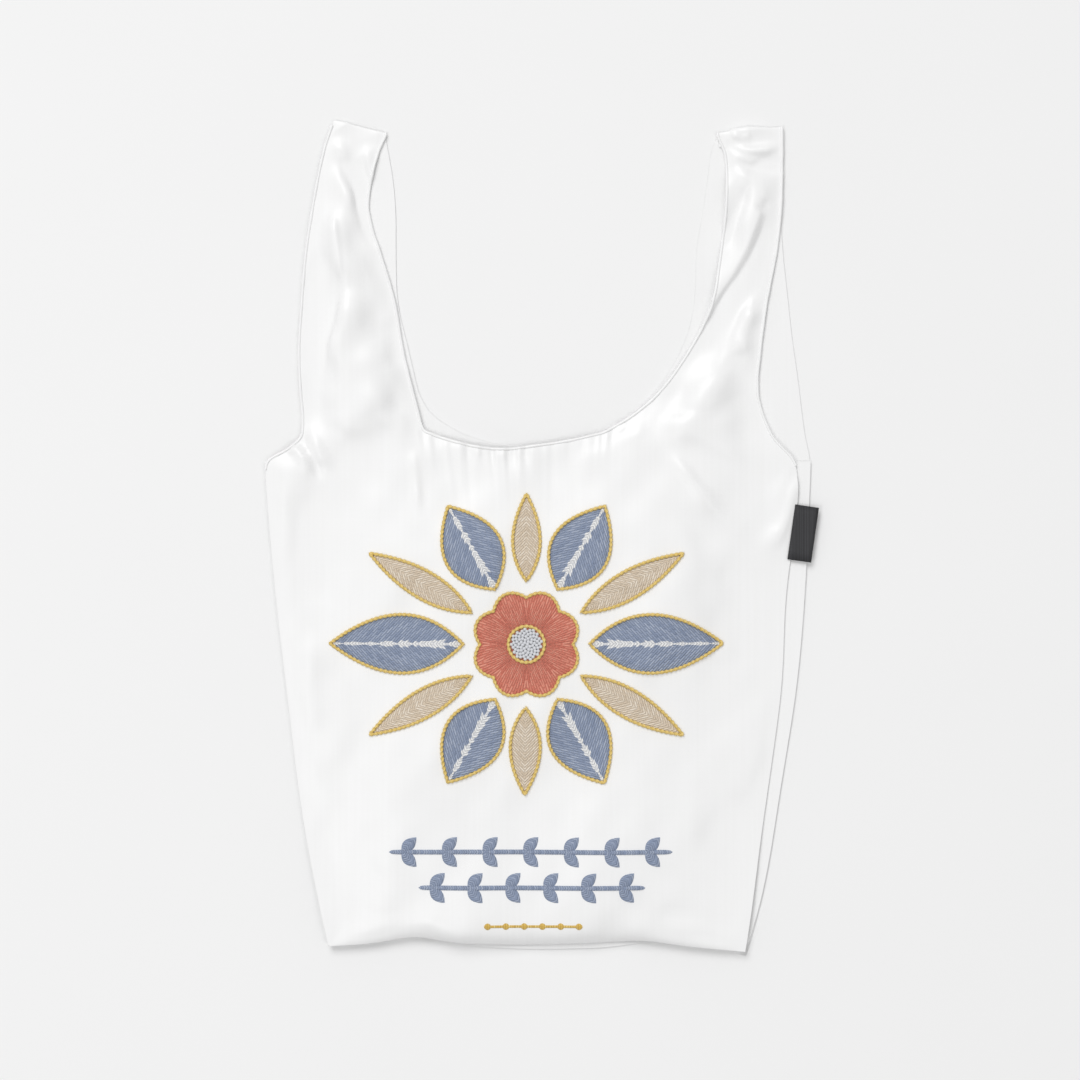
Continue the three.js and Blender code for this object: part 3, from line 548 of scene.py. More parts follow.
def distances(spots, points):
    """Distance of each spot from the nearest of the points."""
    tree = KDTree(len(points))
    for index, point in enumerate(points):
        tree.insert(point, index)
    tree.balance()
    return numpy.array([tree.find(spot)[2] for spot in spots])


def eased(distance, reach):
    """0 at a border, 1 from the reach on."""
    part = numpy.clip(distance / reach, 0, 1)
    return part * part * (3 - 2 * part)


def handle_share(spots):
    """0 on the body, 1 on the handles."""
    return eased(spots[:, 1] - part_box("gusset_left")[1].y, SHOULDER_REACH)


def front_outline():
    """Middle and length of each border edge of the front, in plan."""
    mesh = outer_skin("front_panel", True)
    ends = [[vertex.co.xy for vertex in edge.verts] for edge in mesh.edges if edge.is_boundary]
    mesh.free()
    return [((first + second) / 2, (first - second).length) for first, second in ends]


def press_shares(spots, sizes):
    """Share of its height that each spot keeps, lowest at the sides, handles and neckline."""
    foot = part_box("front_panel")[0].y + sizes.full_rise
    handle = handle_share(spots)
    least = sizes.body_press + (sizes.handle_press - sizes.body_press) * handle
    reach = sizes.body_reach + (sizes.handle_reach - sizes.body_reach) * handle
    near = numpy.zeros(len(spots))
    for middle, run in front_outline():
        if middle.y > foot:
            away = (spots[:, 0] - middle.x) ** 2 + (spots[:, 1] - middle.y) ** 2
            near += run * numpy.exp(-away / reach**2)
    near /= math.sqrt(math.pi) * reach
    return 1 - (1 - least) * (1 - numpy.exp(-PRESS_RISE * near))


def pressed_height(heights, shares):
    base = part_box("back_panel")[1].z
    return numpy.where(heights > base, base + (heights - base) * shares, heights)


def press(piece, sizes):
    """Presses a piece down near the borders of the bag, like all the layers there."""
    spots = vectors_of(piece, "co")
    spots[:, 2] = pressed_height(spots[:, 2], press_shares(spots, sizes))
    put_spots(piece, spots)


def pressed_tree(name, sizes):
    """A node's shape, pressed down like the layers of the bag, for distances to it."""
    mesh = node_copy(name)
    spots = numpy.array([vertex.co for vertex in mesh.verts])
    heights = pressed_height(spots[:, 2], press_shares(spots, sizes))
    for vertex, height in zip(mesh.verts, heights):
        vertex.co.z = height
    tree = BVHTree.FromBMesh(mesh)
    mesh.free()
    return tree


def noise_row(places, step, shift):
    """Seeded unevenness along a line."""
    return numpy.array([noise.noise(Vector((place / step, shift, 0))) for place in places])


def gathers_at(spots, sizes):
    """Uneven gathers that run down from the neck hem."""
    low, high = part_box("neck_hem")
    tree = pressed_tree("neck_hem", sizes)
    distance = numpy.array([tree.find_nearest(Vector(spot))[3] for spot in spots])
    half = (high.x - low.x) / 2
    off_middle = spots[:, 0] - (low.x + high.x) / 2
    lower = numpy.clip(1 - (spots[:, 1] - low.y) / GATHER_CLIMB, 0, 1)
    side_fade = numpy.clip(GATHER_WIDTH - (off_middle / half) ** 2, 0, 1)
    along = spots[:, 0] + GATHER_FAN * off_middle * distance / half
    wave_row, strength_row, reach_row = GATHER_ROWS
    wave = noise_row(along, sizes.gather_pitch / 2, wave_row)
    vary, over = GATHER_STRENGTH
    strength = 1 + vary * noise_row(along, over * sizes.gather_pitch, strength_row)
    vary, over = GATHER_REACH
    reach = sizes.gather_length * (1 + vary * noise_row(along, over * sizes.gather_pitch, reach_row))
    fade = numpy.exp(-distance / reach) * lower * side_fade
    return 2 * sizes.gather_height * wave * strength * fade


def dress_sheet(piece, creases, sizes, room, seed):
    """Moves a sheet's points along its normals, within the free room under it."""
    spots = vectors_of(piece, "co")
    moves = waves_at(spots, sizes.swell, sizes.swell_length, seed)
    ripple = waves_at(spots, sizes.ripple, sizes.ripple_length, seed + RIPPLE_SEED)
    moves += ripple * (1 + handle_share(spots))
    moves *= eased(distances(spots, border_points(piece)), sizes.seam_reach)
    moves += creases_at(spots, creases, sizes.crease_height)
    moves = room(spots, moves, sizes)
    spots = spots + vectors_of(piece, "normal") * moves[:, None]
    spots[:, 2] = numpy.maximum(spots[:, 2], 0)
    put_spots(piece, spots)


def front_room(spots, moves, sizes):
    """Lets the front sink only as far as the layers under it allow."""
    side_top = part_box("gusset_left")[1].z
    back_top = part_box("back_panel")[1].z
    under = side_top + (2 * back_top - side_top) * handle_share(spots)
    lowest = pressed_height(under, press_shares(spots, sizes)) + sizes.thickness
    free = numpy.clip((spots[:, 2] - lowest) * SINK_SHARE, LEAST_ROOM, None)
    return numpy.where(moves < 0, -free * (1 - numpy.exp(moves / free)), moves)


def back_room(spots, moves, sizes):
    """Lets the back only rise off the surface, and only where nothing lies close above it."""
    low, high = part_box("back_panel")
    middle = (low.x + high.x) / 2
    inside = numpy.clip(1 - (numpy.abs(spots[:, 0] - middle) / BACK_HALF) ** 4, 0, 1)
    body = spots[:, 1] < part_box("neck_hem")[0].y
    rise = (numpy.hypot(moves, BACK_SOFT) - moves) / 2
    return -rise * numpy.where(body, inside, HANDLE_RISE)


# Materials


def rgba(value):
    return (*value, 1)


def new_material(name):
    material = bpy.data.materials.new(name)
    material.use_nodes = True
    return material.node_tree, material.node_tree.nodes["Principled BSDF"]


def add_node(tree, kind, **values):
    node = tree.nodes.new(kind)
    for key, value in values.items():
        setattr(node, key, value)
    return node


def fill_in(tree, node, **values):
    """Sets a node's inputs by name. A socket is linked, and anything else is a constant."""
    for key, value in values.items():
        socket = node.inputs[key.replace("_", " ")]
        if isinstance(value, bpy.types.NodeSocket):
            tree.links.new(value, socket)
        else:
            socket.default_value = value
    return node


def maths(tree, operation, first, second=None, third=None):
    """A Math node. Each input is a socket or a number."""
    node = add_node(tree, "ShaderNodeMath", operation=operation)
    for index, value in enumerate((first, second, third)):
        if value is None:
            continue
        if isinstance(value, (int, float)):
            node.inputs[index].default_value = value
        else:
            tree.links.new(value, node.inputs[index])
    return node.outputs[0]


def mixed(tree, factor, first, second):
    """A colour between two, each a socket or a colour."""
    node = add_node(tree, "ShaderNodeMix", data_type="RGBA")
    for index, value in ((0, factor), (6, first), (7, second)):
        if isinstance(value, (int, float, tuple)):
            node.inputs[index].default_value = value
        else:
            tree.links.new(value, node.inputs[index])
    return node.outputs[2]


def new_group(name, inputs, outputs):
    group = bpy.data.node_groups.new(name, "ShaderNodeTree")
    for label, kind, default in inputs:
        socket = group.interface.new_socket(label, in_out="INPUT", socket_type=kind)
        if default is not None:
            socket.default_value = default
    for label in outputs:
        group.interface.new_socket(label, in_out="OUTPUT", socket_type="NodeSocketFloat")
    start = group.nodes.new("NodeGroupInput")
    end = group.nodes.new("NodeGroupOutput")
    return group, start, end


def parts_of(tree, place_socket):
    """The first two parts of a place, along and across."""
    parts = add_node(tree, "ShaderNodeSeparateXYZ")
    tree.links.new(place_socket, parts.inputs[0])
    return parts.outputs[0], parts.outputs[1]


def random_tone(tree, *cell_numbers):
    """A random value for each cell, told apart by its numbers."""
    cell = add_node(tree, "ShaderNodeCombineXYZ")
    for index, socket in enumerate(cell_numbers):
        tree.links.new(socket, cell.inputs[index])
    random = add_node(tree, "ShaderNodeTexWhiteNoise", noise_dimensions="3D")
    return fill_in(tree, random, Vector=cell.outputs[0]).outputs["Value"]


def noise_field(tree, place_socket, *, scale, detail=2):
    field = add_node(tree, "ShaderNodeTexNoise")
    return fill_in(tree, field, Vector=place_socket, Scale=scale, Detail=detail).outputs[0]


def rounded(tree, thread):
    """Height of a round thread, from a count of threads."""
    side = maths(tree, "PINGPONG", thread, 0.5)
    return maths(tree, "SINE", maths(tree, "MULTIPLY", side, math.pi))


def stitch_group():
    """Rows of stitches, from a place along and across a stitched shape."""
    row_shift = 0.382  # share of a stitch by which each row starts later than the last
    tip_slope = 6
    tip_softness = 0.2
    inputs = [
        ("Place", "NodeSocketVector", None),
        ("Pitch", "NodeSocketFloat", 0.0012),
        ("Stitch length", "NodeSocketFloat", 0.006),
        ("Slant", "NodeSocketFloat", 0.8),
    ]
    group, start, end = new_group("Stitch rows", inputs, ("Height", "Tone"))
    along, out = parts_of(group, start.outputs["Place"])
    across = maths(group, "ABSOLUTE", out)
    slanted = maths(group, "MULTIPLY_ADD", across, start.outputs["Slant"], along)
    thread = maths(group, "DIVIDE", slanted, start.outputs["Pitch"])
    row = maths(group, "FLOOR", thread)
    stitches = maths(group, "DIVIDE", across, start.outputs["Stitch length"])
    run = maths(group, "ADD", stitches, maths(group, "MULTIPLY", row, row_shift))
    tip = maths(group, "MULTIPLY", maths(group, "PINGPONG", run, 0.5), tip_slope)
    body = maths(group, "SMOOTH_MIN", tip, 1, tip_softness)
    height = maths(group, "MULTIPLY", rounded(group, thread), body)
    tone = random_tone(group, row, maths(group, "FLOOR", run))
    fill_in(group, end, Height=height, Tone=tone)
    return group


def weave_group():
    """Threads that cross over and under each other, from a place in metres."""
    lift = 0.35  # how much higher the upper thread lies, in halves of a thread
    inputs = [("Place", "NodeSocketVector", None), ("Pitch", "NodeSocketFloat", 0.0009)]
    group, start, end = new_group("Woven threads", inputs, ("Height", "Tone"))
    right, up = parts_of(group, start.outputs["Place"])
    warp = maths(group, "DIVIDE", right, start.outputs["Pitch"])
    weft = maths(group, "DIVIDE", up, start.outputs["Pitch"])
    turns = maths(group, "ADD", maths(group, "FLOOR", warp), maths(group, "FLOOR", weft))
    over = maths(group, "MULTIPLY", maths(group, "PINGPONG", turns, 1), lift)
    under = maths(group, "SUBTRACT", lift, over)
    first = maths(group, "ADD", rounded(group, warp), over)
    second = maths(group, "ADD", rounded(group, weft), under)
    tone = random_tone(group, maths(group, "FLOOR", warp))
    fill_in(group, end, Height=maths(group, "MAXIMUM", first, second), Tone=tone)
    return group


def streak_group():
    """Long faint streaks of thicker thread, along the bag and across it."""
    stretches = ((420, 9, 9), (7, 360, 9))  # changes in a metre, for streaks along and across
    along_share, across_share = 0.8, 0.2
    inputs = [("Place", "NodeSocketVector", None)]
    group, start, end = new_group("Cloth streaks", inputs, ("Streaks", "Cloud"))
    fields = []
    for stretch in stretches:
        turned = add_node(group, "ShaderNodeMapping")
        fill_in(group, turned, Vector=start.outputs["Place"], Scale=stretch)
        fields.append(noise_field(group, turned.outputs[0], scale=1))
    across = maths(group, "MULTIPLY", fields[1], across_share)
    both = maths(group, "MULTIPLY_ADD", fields[0], along_share, across)
    cloud = noise_field(group, start.outputs["Place"], scale=22, detail=4)
    fill_in(group, end, Streaks=both, Cloud=cloud)
    return group


def group_node(tree, group, **values):
    return fill_in(tree, add_node(tree, "ShaderNodeGroup", node_tree=group), **values)


def object_place(tree):
    return add_node(tree, "ShaderNodeTexCoord").outputs["Object"]


def bumped(tree, height, *, distance, strength):
    """The way a surface faces, once a height raises it."""
    bump = add_node(tree, "ShaderNodeBump")
    return fill_in(tree, bump, Strength=strength, Distance=distance, Height=height).outputs[0]


def organza_material(name, groups, colours, sizes):
    shade_gain, shade_start = 1.6, -0.35  # how the streaks turn into a share of the shade
    matt_gain, matt_start = 0.14, 0.33  # how the cloud turns into roughness
    thread_relief = 0.05  # height of the threads beside that of the streaks
    tree, shader = new_material(name)
    weave = group_node(tree, groups["weave"], Place=object_place(tree), Pitch=sizes.weave_pitch)
    streaks = group_node(tree, groups["streaks"], Place=object_place(tree))
    dense = maths(tree, "MULTIPLY_ADD", streaks.outputs["Streaks"], shade_gain, shade_start)
    threads = maths(tree, "MULTIPLY", weave.outputs["Height"], thread_relief)
    height = maths(tree, "ADD", threads, streaks.outputs["Streaks"])
    fill_in(
        tree,
        shader,
        Base_Color=mixed(tree, dense, rgba(colours.cloth), rgba(colours.cloth_shade)),
        Roughness=maths(tree, "MULTIPLY_ADD", streaks.outputs["Cloud"], matt_gain, matt_start),
        Sheen_Weight=0.15,
        Sheen_Roughness=0.35,
        Specular_IOR_Level=0.55,
        Normal=bumped(tree, height, distance=0.00012, strength=0.35),
    )


def veined(tree, place_socket, rows, fill, colours):
    """A fill with white stitches beside its middle vein, in a ragged edge."""
    spread, least = 0.003, 0.0008  # how far the stitches reach out, in metres
    narrowing, root_width = -9.5, 1.05  # how the vein narrows towards the leaf's tip
    along, out = parts_of(tree, place_socket)
    ragged = maths(tree, "MULTIPLY_ADD", rows.outputs["Tone"], spread, least)
    taper = maths(tree, "MULTIPLY_ADD", along, narrowing, root_width)
    across = maths(tree, "ABSOLUTE", out)
    vein = maths(tree, "LESS_THAN", across, maths(tree, "MULTIPLY", ragged, taper))
    # Painted shade: the white stitches turn grey-blue in the grooves between them.
    snow = mixed(tree, rows.outputs["Height"], rgba(colours.white_shade), rgba(colours.white))
    return mixed(tree, vein, fill, snow)


# Threads: name, colour in the grooves between the stitches (it carries their painted shade),
# colour painted on the stitches' crests as a highlight, pitch, stitch length in metres, slant,
# roughness, and whether white stitches mark the middle vein
THREADS = (
    ("red_fill", "red", "red_highlight", "fill_pitch", 0.006, 0.15, 0.55, False),
    ("beige_fill", "beige", "beige_highlight", "fill_pitch", 0.004, 1.0, 0.5, False),
    ("blue_fill", "blue", "blue_highlight", "fill_pitch", 0.005, 0.9, 0.5, True),
    ("blue_satin", "blue", "blue_highlight", "satin_pitch", 0.02, 0.6, 0.35, False),
    ("white_fill", "white_shade", "white", "fill_pitch", 0.004, 0.2, 0.5, False),
    ("gold_satin", "gold", "gold_light", "satin_pitch", 0.02, 0.0, 0.35, False),
)
STITCH_DEPTH = 0.35  # height of a stitch's bump, as a share of its pitch


def thread_material(row, groups, colours, sizes):
    name, base, light, pitch_name, stitch_length, slant, roughness, has_vein = row
    tree, shader = new_material(name)
    pitch = getattr(sizes, pitch_name)
    place_socket = add_node(tree, "ShaderNodeUVMap", uv_map=STITCH_MAP).outputs[0]
    rows = group_node(
        tree, groups["stitch"], Place=place_socket, Pitch=pitch, Stitch_length=stitch_length, Slant=slant
    )
    # Painted light: the stitches' crests are painted towards the lighter colour as a highlight, more on
    # some stitches than on others, and the grooves between them keep the darker colour as painted shade.
    tone = maths(tree, "MULTIPLY", rows.outputs["Tone"], rows.outputs["Height"])
    fill = mixed(tree, tone, rgba(getattr(colours, base)), rgba(getattr(colours, light)))
    if has_vein:
        fill = veined(tree, place_socket, rows, fill, colours)
    normal = bumped(tree, rows.outputs["Height"], distance=pitch * STITCH_DEPTH, strength=0.8)
    fill_in(tree, shader, Base_Color=fill, Roughness=roughness, Sheen_Weight=0.3, Normal=normal)


def cord_material(colours):
    """Gold thread flecked with painted highlights, spread at random by a noise over the place of the
    fibres.
    """
    tree, shader = new_material("gold_cord")
    fibres = noise_field(tree, object_place(tree), scale=900)
    fill_in(
        tree,
        shader,
        Base_Color=mixed(tree, fibres, rgba(colours.gold), rgba(colours.gold_light)),
        Roughness=0.38,
        Sheen_Weight=0.2,
        Normal=bumped(tree, fibres, distance=0.0002, strength=0.5),
    )


def label_material(groups, colours):
    tree, shader = new_material("label_weave")
    weave = group_node(tree, groups["weave"], Place=object_place(tree), Pitch=LABEL_PITCH)
    # Painted highlight: the crests of the label's threads are painted towards the lighter colour, by a
    # random amount for each thread, at most this share.
    most_light = 0.8
    tone = maths(tree, "MULTIPLY", weave.outputs["Tone"], most_light)
    lit = maths(tree, "MULTIPLY", weave.outputs["Height"], tone)
    fill_in(
        tree,
        shader,
        Base_Color=mixed(tree, lit, rgba(colours.label), rgba(colours.label_highlight)),
        Roughness=0.55,
        Sheen_Weight=0.15,
        Normal=bumped(tree, weave.outputs["Height"], distance=0.0002, strength=0.6),
    )


def floor_material(colours):
    tree, shader = new_material("floor")
    grain = noise_field(tree, object_place(tree), scale=6)
    darker = tuple(FLOOR_SHADE * part for part in colours.floor)
    tone = mixed(tree, grain, rgba(darker), rgba(colours.floor))
    fill_in(tree, shader, Base_Color=tone, Roughness=0.9, Specular_IOR_Level=0.1)


def make_materials(scene):
    colours, cloth, thread = scene.bag_colours, scene.cloth_sizes, scene.thread_sizes
    groups = {"stitch": stitch_group(), "weave": weave_group(), "streaks": streak_group()}
    for name in ("woven_organza", "rolled_organza"):
        organza_material(name, groups, colours, cloth)
    label_material(groups, colours)
    for row in THREADS:
        thread_material(row, groups, colours, thread)
    cord_material(colours)
    floor_material(colours)


# Stitched shapes


def front_tree():
    mesh = open_mesh(bpy.data.objects["front_sheet"].data)
    tree = BVHTree.FromBMesh(mesh)
    mesh.free()
    return tree


def front_height(tree, spot):
    """Height of the front at a place, or None beside it."""
    hit = tree.ray_cast(Vector((spot[0], spot[1], RAY_HEIGHT)), Vector((0, 0, -1)))[0]
    return None if hit is None else hit.z


def seated(tree, spot):
    """Drops a place on the front, keeping its height as its height above it."""
    height = front_height(tree, spot)
    if height is None:
        raise RuntimeError("a stitched point lies off the front of the bag")
    return Vector((spot.x, spot.y, height + spot.z))


def around(centre, radius, angle, height=0):
    return Vector((centre.x + radius * math.cos(angle), centre.y + radius * math.sin(angle), height))


def ring(centre, radius_at, count):
    """Places around a centre, at a radius that depends on the angle."""
    angles = [2 * math.pi * index / count for index in range(count)]
    return [around(centre, radius_at(angle), angle) for angle in angles]


def stitched_grid(cells, shape):
    """A grid bent by a function of its shares, which also gives each point's stitch place."""
    mesh = bmesh.new()
    bmesh.ops.create_grid(mesh, x_segments=cells[0], y_segments=cells[1], size=1)
    layer = mesh.loops.layers.uv.new(STITCH_MAP)
    stitches = {}
    for vertex in mesh.verts:
        spot, stitch = shape((vertex.co.x + 1) / 2, vertex.co.y)
        stitches[vertex] = stitch
        vertex.co = spot
    for face in mesh.faces:
        for loop in face.loops:
            loop[layer].uv = stitches[loop.vert]
    merge_doubles(mesh)
    return mesh


def merge_into(mesh, other):
    """Adds one bmesh to another, and frees it."""
    data = bpy.data.meshes.new("part")
    other.to_mesh(data)
    other.free()
    mesh.from_mesh(data)
    bpy.data.meshes.remove(data)


def leaf_half(along, width):
    return 2 * along * (1 - along) * width


def leaf_run(along, reach):
    return reach * (2 * along * (1 - along) * LEAF_BELLY + along**2)


def dome(across, rise):
    """A padded cross-section, low at its two sides."""
    return rise * (1 - across**DOME_POWER)


def leaf_place(leaf, along, across):
    """A place on a flat leaf, and its distances along and across the leaf."""
    root, direction, reach, width = leaf
    side = Vector((-direction.y, direction.x, 0))
    run = leaf_run(along, reach)
    out = leaf_half(along, width) * across
    return root + direction * run + side * out, (run, out)


def leaf_grid(leaf, rise, cells):
    def shape(along, across):
        spot, stitch = leaf_place(leaf, along, across)
        ends = min(1, LEAF_TIPS * along, LEAF_TIPS * (1 - along))
        return spot + Vector((0, 0, dome(across, rise) * ends)), stitch

    return stitched_grid(cells, shape)


def leaf_outline(leaf, step):
    count = max(8, round(leaf[2] / step))
    shares = [index / count for index in range(count)]
    upper = [leaf_place(leaf, along, 1)[0] for along in shares]
    lower = [leaf_place(leaf, 1 - along, -1)[0] for along in shares]
    return upper + lower


def node_leaf(name, centre):
    """Root, direction, length and full width of a leaf, read from its node."""
    mesh = node_copy(name)
    middle = sum((v.co for v in mesh.verts), Vector()) / len(mesh.verts)
    direction = Vector((middle.x - centre.x, middle.y - centre.y, 0)).normalized()
    side = Vector((-direction.y, direction.x, 0))
    runs = [(v.co - centre).dot(direction) for v in mesh.verts]
    outs = [abs((v.co - centre).dot(side)) for v in mesh.verts]
    mesh.free()
    root = Vector((centre.x, centre.y, 0)) + direction * min(runs)
    return root, direction, max(runs) - min(runs), 2 * max(outs)


def rope_profile(radius):
    """Cross-section of two threads side by side."""
    curve = bpy.data.curves.new("rope_profile", "CURVE")
    curve.dimensions = "2D"
    spline = curve.splines.new("POLY")
    spline.points.add(ROPE_CORNERS - 1)
    for index, point in enumerate(spline.points):
        angle = 2 * math.pi * index / ROPE_CORNERS
        reach = radius * (ROPE_WAIST + (1 - ROPE_WAIST) * math.cos(angle) ** 2)
        point.co = (reach * math.cos(angle), reach * math.sin(angle), 0, 1)
    spline.use_cyclic_u = True
    return put_in_scene("rope_profile", curve)


def swept_mesh(curve, points, widths, tilts, closed):
    """The mesh that a curve's section leaves along points."""
    curve.dimensions = "3D"
    curve.use_fill_caps = not closed
    spline = curve.splines.new("POLY")
    spline.points.add(len(points) - 1)
    for point, spot, width, tilt in zip(spline.points, points, widths, tilts):
        point.co = (*spot, 1)
        point.radius = width
        point.tilt = tilt
    spline.use_cyclic_u = closed
    holder = put_in_scene(curve.name, curve)
    graph = bpy.context.evaluated_depsgraph_get()
    mesh = open_mesh(bpy.data.meshes.new_from_object(holder.evaluated_get(graph), depsgraph=graph))
    merge_doubles(mesh)
    bmesh.ops.recalc_face_normals(mesh, faces=mesh.faces)
    bpy.data.objects.remove(holder)
    return mesh


def rope_mesh(points, radius, turn):
    """A closed rope of two twisted threads along points."""
    profile = rope_profile(radius)
    curve = bpy.data.curves.new("rope", "CURVE")
    curve.twist_mode = "Z_UP"
    curve.bevel_mode = "OBJECT"
    curve.bevel_object = profile
    steps = [(b - a).length for a, b in zip(points, points[1:] + points[:1])]
    whole = sum(steps)
    twist = math.pi * max(1, round(2 * whole / turn)) / whole
    tilts = [sum(steps[:index]) * twist for index in range(len(steps))]
    mesh = swept_mesh(curve, points, [1] * len(points), tilts, True)
    bpy.data.objects.remove(profile)
    return mesh


def tube_mesh(points, radius):
    """A tube along points, a little uneven like rolled cloth."""
    curve = bpy.data.curves.new("tube", "CURVE")
    curve.bevel_depth = radius
    curve.bevel_resolution = HEM_RING
    widths = [1 + HEM_UNEVEN * noise.noise(spot * HEM_GRAIN) for spot in points]
    return swept_mesh(curve, points, widths, [0] * len(points), False)


def even_points(points, step, closed):
    """Points along a path at even steps."""
    path = points + points[:1] if closed else points
    lengths = [(b - a).length for a, b in zip(path, path[1:])]
    count = max(3, round(sum(lengths) / step))
    spots = []
    index, passed = 0, 0
    for turn in range(count if closed else count + 1):
        target = sum(lengths) * turn / count
        while index < len(lengths) - 1 and passed + lengths[index] < target:
            passed += lengths[index]
            index += 1
        part = (target - passed) / lengths[index] if lengths[index] else 0
        spots.append(path[index].lerp(path[index + 1], min(max(part, 0), 1)))
    return spots


def add_cord(name, points, lift, tree, sizes):
    """A gold cord laid on the front along points, with its middle lifted above the cloth."""
    raised = [seated(tree, point) + Vector((0, 0, lift)) for point in points]
    mesh = rope_mesh(raised, sizes.cord_radius, sizes.cord_turn)
    new_piece(name, mesh, None, "gold_cord")


def add_outline(name, points, tree, sizes):
    """A gold cord laid along the border of a stitched shape."""
    spots = even_points(points, sizes.cord_step, True)
    add_cord(name, spots, sizes.cord_radius * CORD_LIFT, tree, sizes)


def add_fill(name, mesh, tree, replaced, material, sizes):
    """A stitched shape, seated on the front and given its depth."""
    for vertex in mesh.verts:
        vertex.co = seated(tree, vertex.co)
    bmesh.ops.recalc_face_normals(mesh, faces=mesh.faces)
    if sum(face.normal.z for face in mesh.faces) < 0:
        bmesh.ops.reverse_faces(mesh, faces=mesh.faces)
    piece = new_piece(name, mesh, replaced, material)
    give_wall(piece, sizes.depth + sizes.fill_rise)


# Operators, one for each piece or group of like pieces


class BAG_OT_front(bpy.types.Operator):
    """Makes the front sheet with its folds and gathers"""

    bl_idname = "bag.front"
    bl_label = "Front sheet"

    def execute(self, context):
        sizes = context.scene.cloth_sizes
        piece = cloth_piece("front_sheet", "front_panel", SHEET_LEVELS, from_top=True, fine=True)
        press(piece, sizes)
        dress_sheet(piece, FRONT_CREASES, sizes, front_room, FRONT_SEED)
        spots = vectors_of(piece, "co")
        spots[:, 2] += gathers_at(spots, sizes)
        put_spots(piece, spots)
        return {"FINISHED"}


class BAG_OT_front_wall(bpy.types.Operator):
    """Gives the front sheet its thickness, once the hems and embroidery are seated on it"""

    bl_idname = "bag.front_wall"
    bl_label = "Front thickness"

    def execute(self, context):
        piece = bpy.data.objects["front_sheet"]
        give_wall(piece, context.scene.cloth_sizes.thickness)
        return {"FINISHED"}


class BAG_OT_back(bpy.types.Operator):
    """Makes the back sheet, which lies flat on the surface"""

    bl_idname = "bag.back"
    bl_label = "Back sheet"

    def execute(self, context):
        sizes = context.scene.cloth_sizes
        piece = cloth_piece("back_sheet", "back_panel", SHEET_LEVELS, from_top=False, fine=True)
        dress_sheet(piece, BACK_CREASES, sizes, back_room, BACK_SEED)
        press(piece, sizes)
        give_wall(piece, sizes.thickness)
        return {"FINISHED"}


class BAG_OT_gussets(bpy.types.Operator):
    """Makes the two folded side bands"""

    bl_idname = "bag.gussets"
    bl_label = "Side bands"

    def execute(self, context):
        sizes = context.scene.cloth_sizes
        for node in ("gusset_left", "gusset_right"):
            piece = cloth_piece(f"{node}_sheet", node, GUSSET_LEVELS, from_top=True, fine=False)
            press(piece, sizes)
            give_wall(piece, sizes.thickness)
        return {"FINISHED"}


def border_near(piece, node, top, sizes):
    """The border points of a sheet beside a node, in order, and on up to the handle's fold."""
    tree = pressed_tree(node, sizes)
    mesh = open_mesh(piece.data)
    chosen = {v for v in mesh.verts if v.is_boundary and tree.find_nearest(v.co)[3] < HEM_REACH}
    runs = []
    while chosen:
        run = ordered_run(chosen)
        chosen -= set(run)
        runs.append(run)
    run = max(runs, key=len)
    run = run_on(run_on(run, top)[::-1], top)[::-1]
    spots = [v.co.copy() for v in run]
    mesh.free()
    return spots


def border_neighbours(vertex):
    return [edge.other_vert(vertex) for edge in vertex.link_edges if edge.is_boundary]


def ordered_run(chosen):
    """One unbroken run of chosen border points."""

    def chosen_neighbours(vertex):
        return [v for v in border_neighbours(vertex) if v in chosen]

    order = sorted(chosen, key=lambda v: v.index)
    start = next((v for v in order if len(chosen_neighbours(v)) < 2), order[0])
    run, seen = [start], {start}
    while True:
        onward = [v for v in chosen_neighbours(run[-1]) if v not in seen]
        if not onward:
            return run
        run.append(onward[0])
        seen.add(onward[0])


def run_on(run, top):
    """Follows the border on from a run's last point, while it rises towards the fold."""
    seen = set(run)
    if run[-1].co.y < top - HEM_CLIMB:
        return run
    while run[-1].co.y < top:
        onward = [v for v in border_neighbours(run[-1]) if v not in seen and v.co.y > run[-1].co.y]
        if not onward:
            return run
        run.append(onward[0])
        seen.add(onward[0])
    return run


class BAG_OT_hems(bpy.types.Operator):
    """Rolls the hems along the neckline and the armholes"""

    bl_idname = "bag.hems"
    bl_label = "Hems"

    def execute(self, context):
        sizes = context.scene.cloth_sizes
        sheet = bpy.data.objects["front_sheet"]
        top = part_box("front_panel")[1].y - sizes.hem_top_gap
        for node in ("neck_hem", "armhole_hem_left", "armhole_hem_right"):
            path = border_near(sheet, node, top, sizes)
            mesh = tube_mesh(even_points(path, HEM_STEP, False), sizes.hem_radius)
            new_piece(f"{node}_roll", mesh, node, "rolled_organza")
        return {"FINISHED"}


class BAG_OT_label(bpy.types.Operator):
    """Makes the small woven label at the side seam"""

    bl_idname = "bag.label"
    bl_label = "Side label"

    def execute(self, context):
        mesh = node_copy("side_label")
        bmesh.ops.subdivide_edges(mesh, edges=mesh.edges, cuts=LABEL_CUTS, use_grid_fill=True)
        piece = new_piece("side_label_weave", mesh, "side_label", "label_weave")
        press(piece, context.scene.cloth_sizes)
        self.lay_over_front(piece)
        return {"FINISHED"}

    def lay_over_front(self, piece):
        """Lifts the label until it lies clear of the front's folds."""
        spots = vectors_of(piece, "co")
        tree = front_tree()
        heights = [front_height(tree, spot) for spot in spots]
        lifts = [high - spot[2] for high, spot in zip(heights, spots) if high is not None]
        spots[:, 2] += max([0, *lifts])
        put_spots(piece, spots)


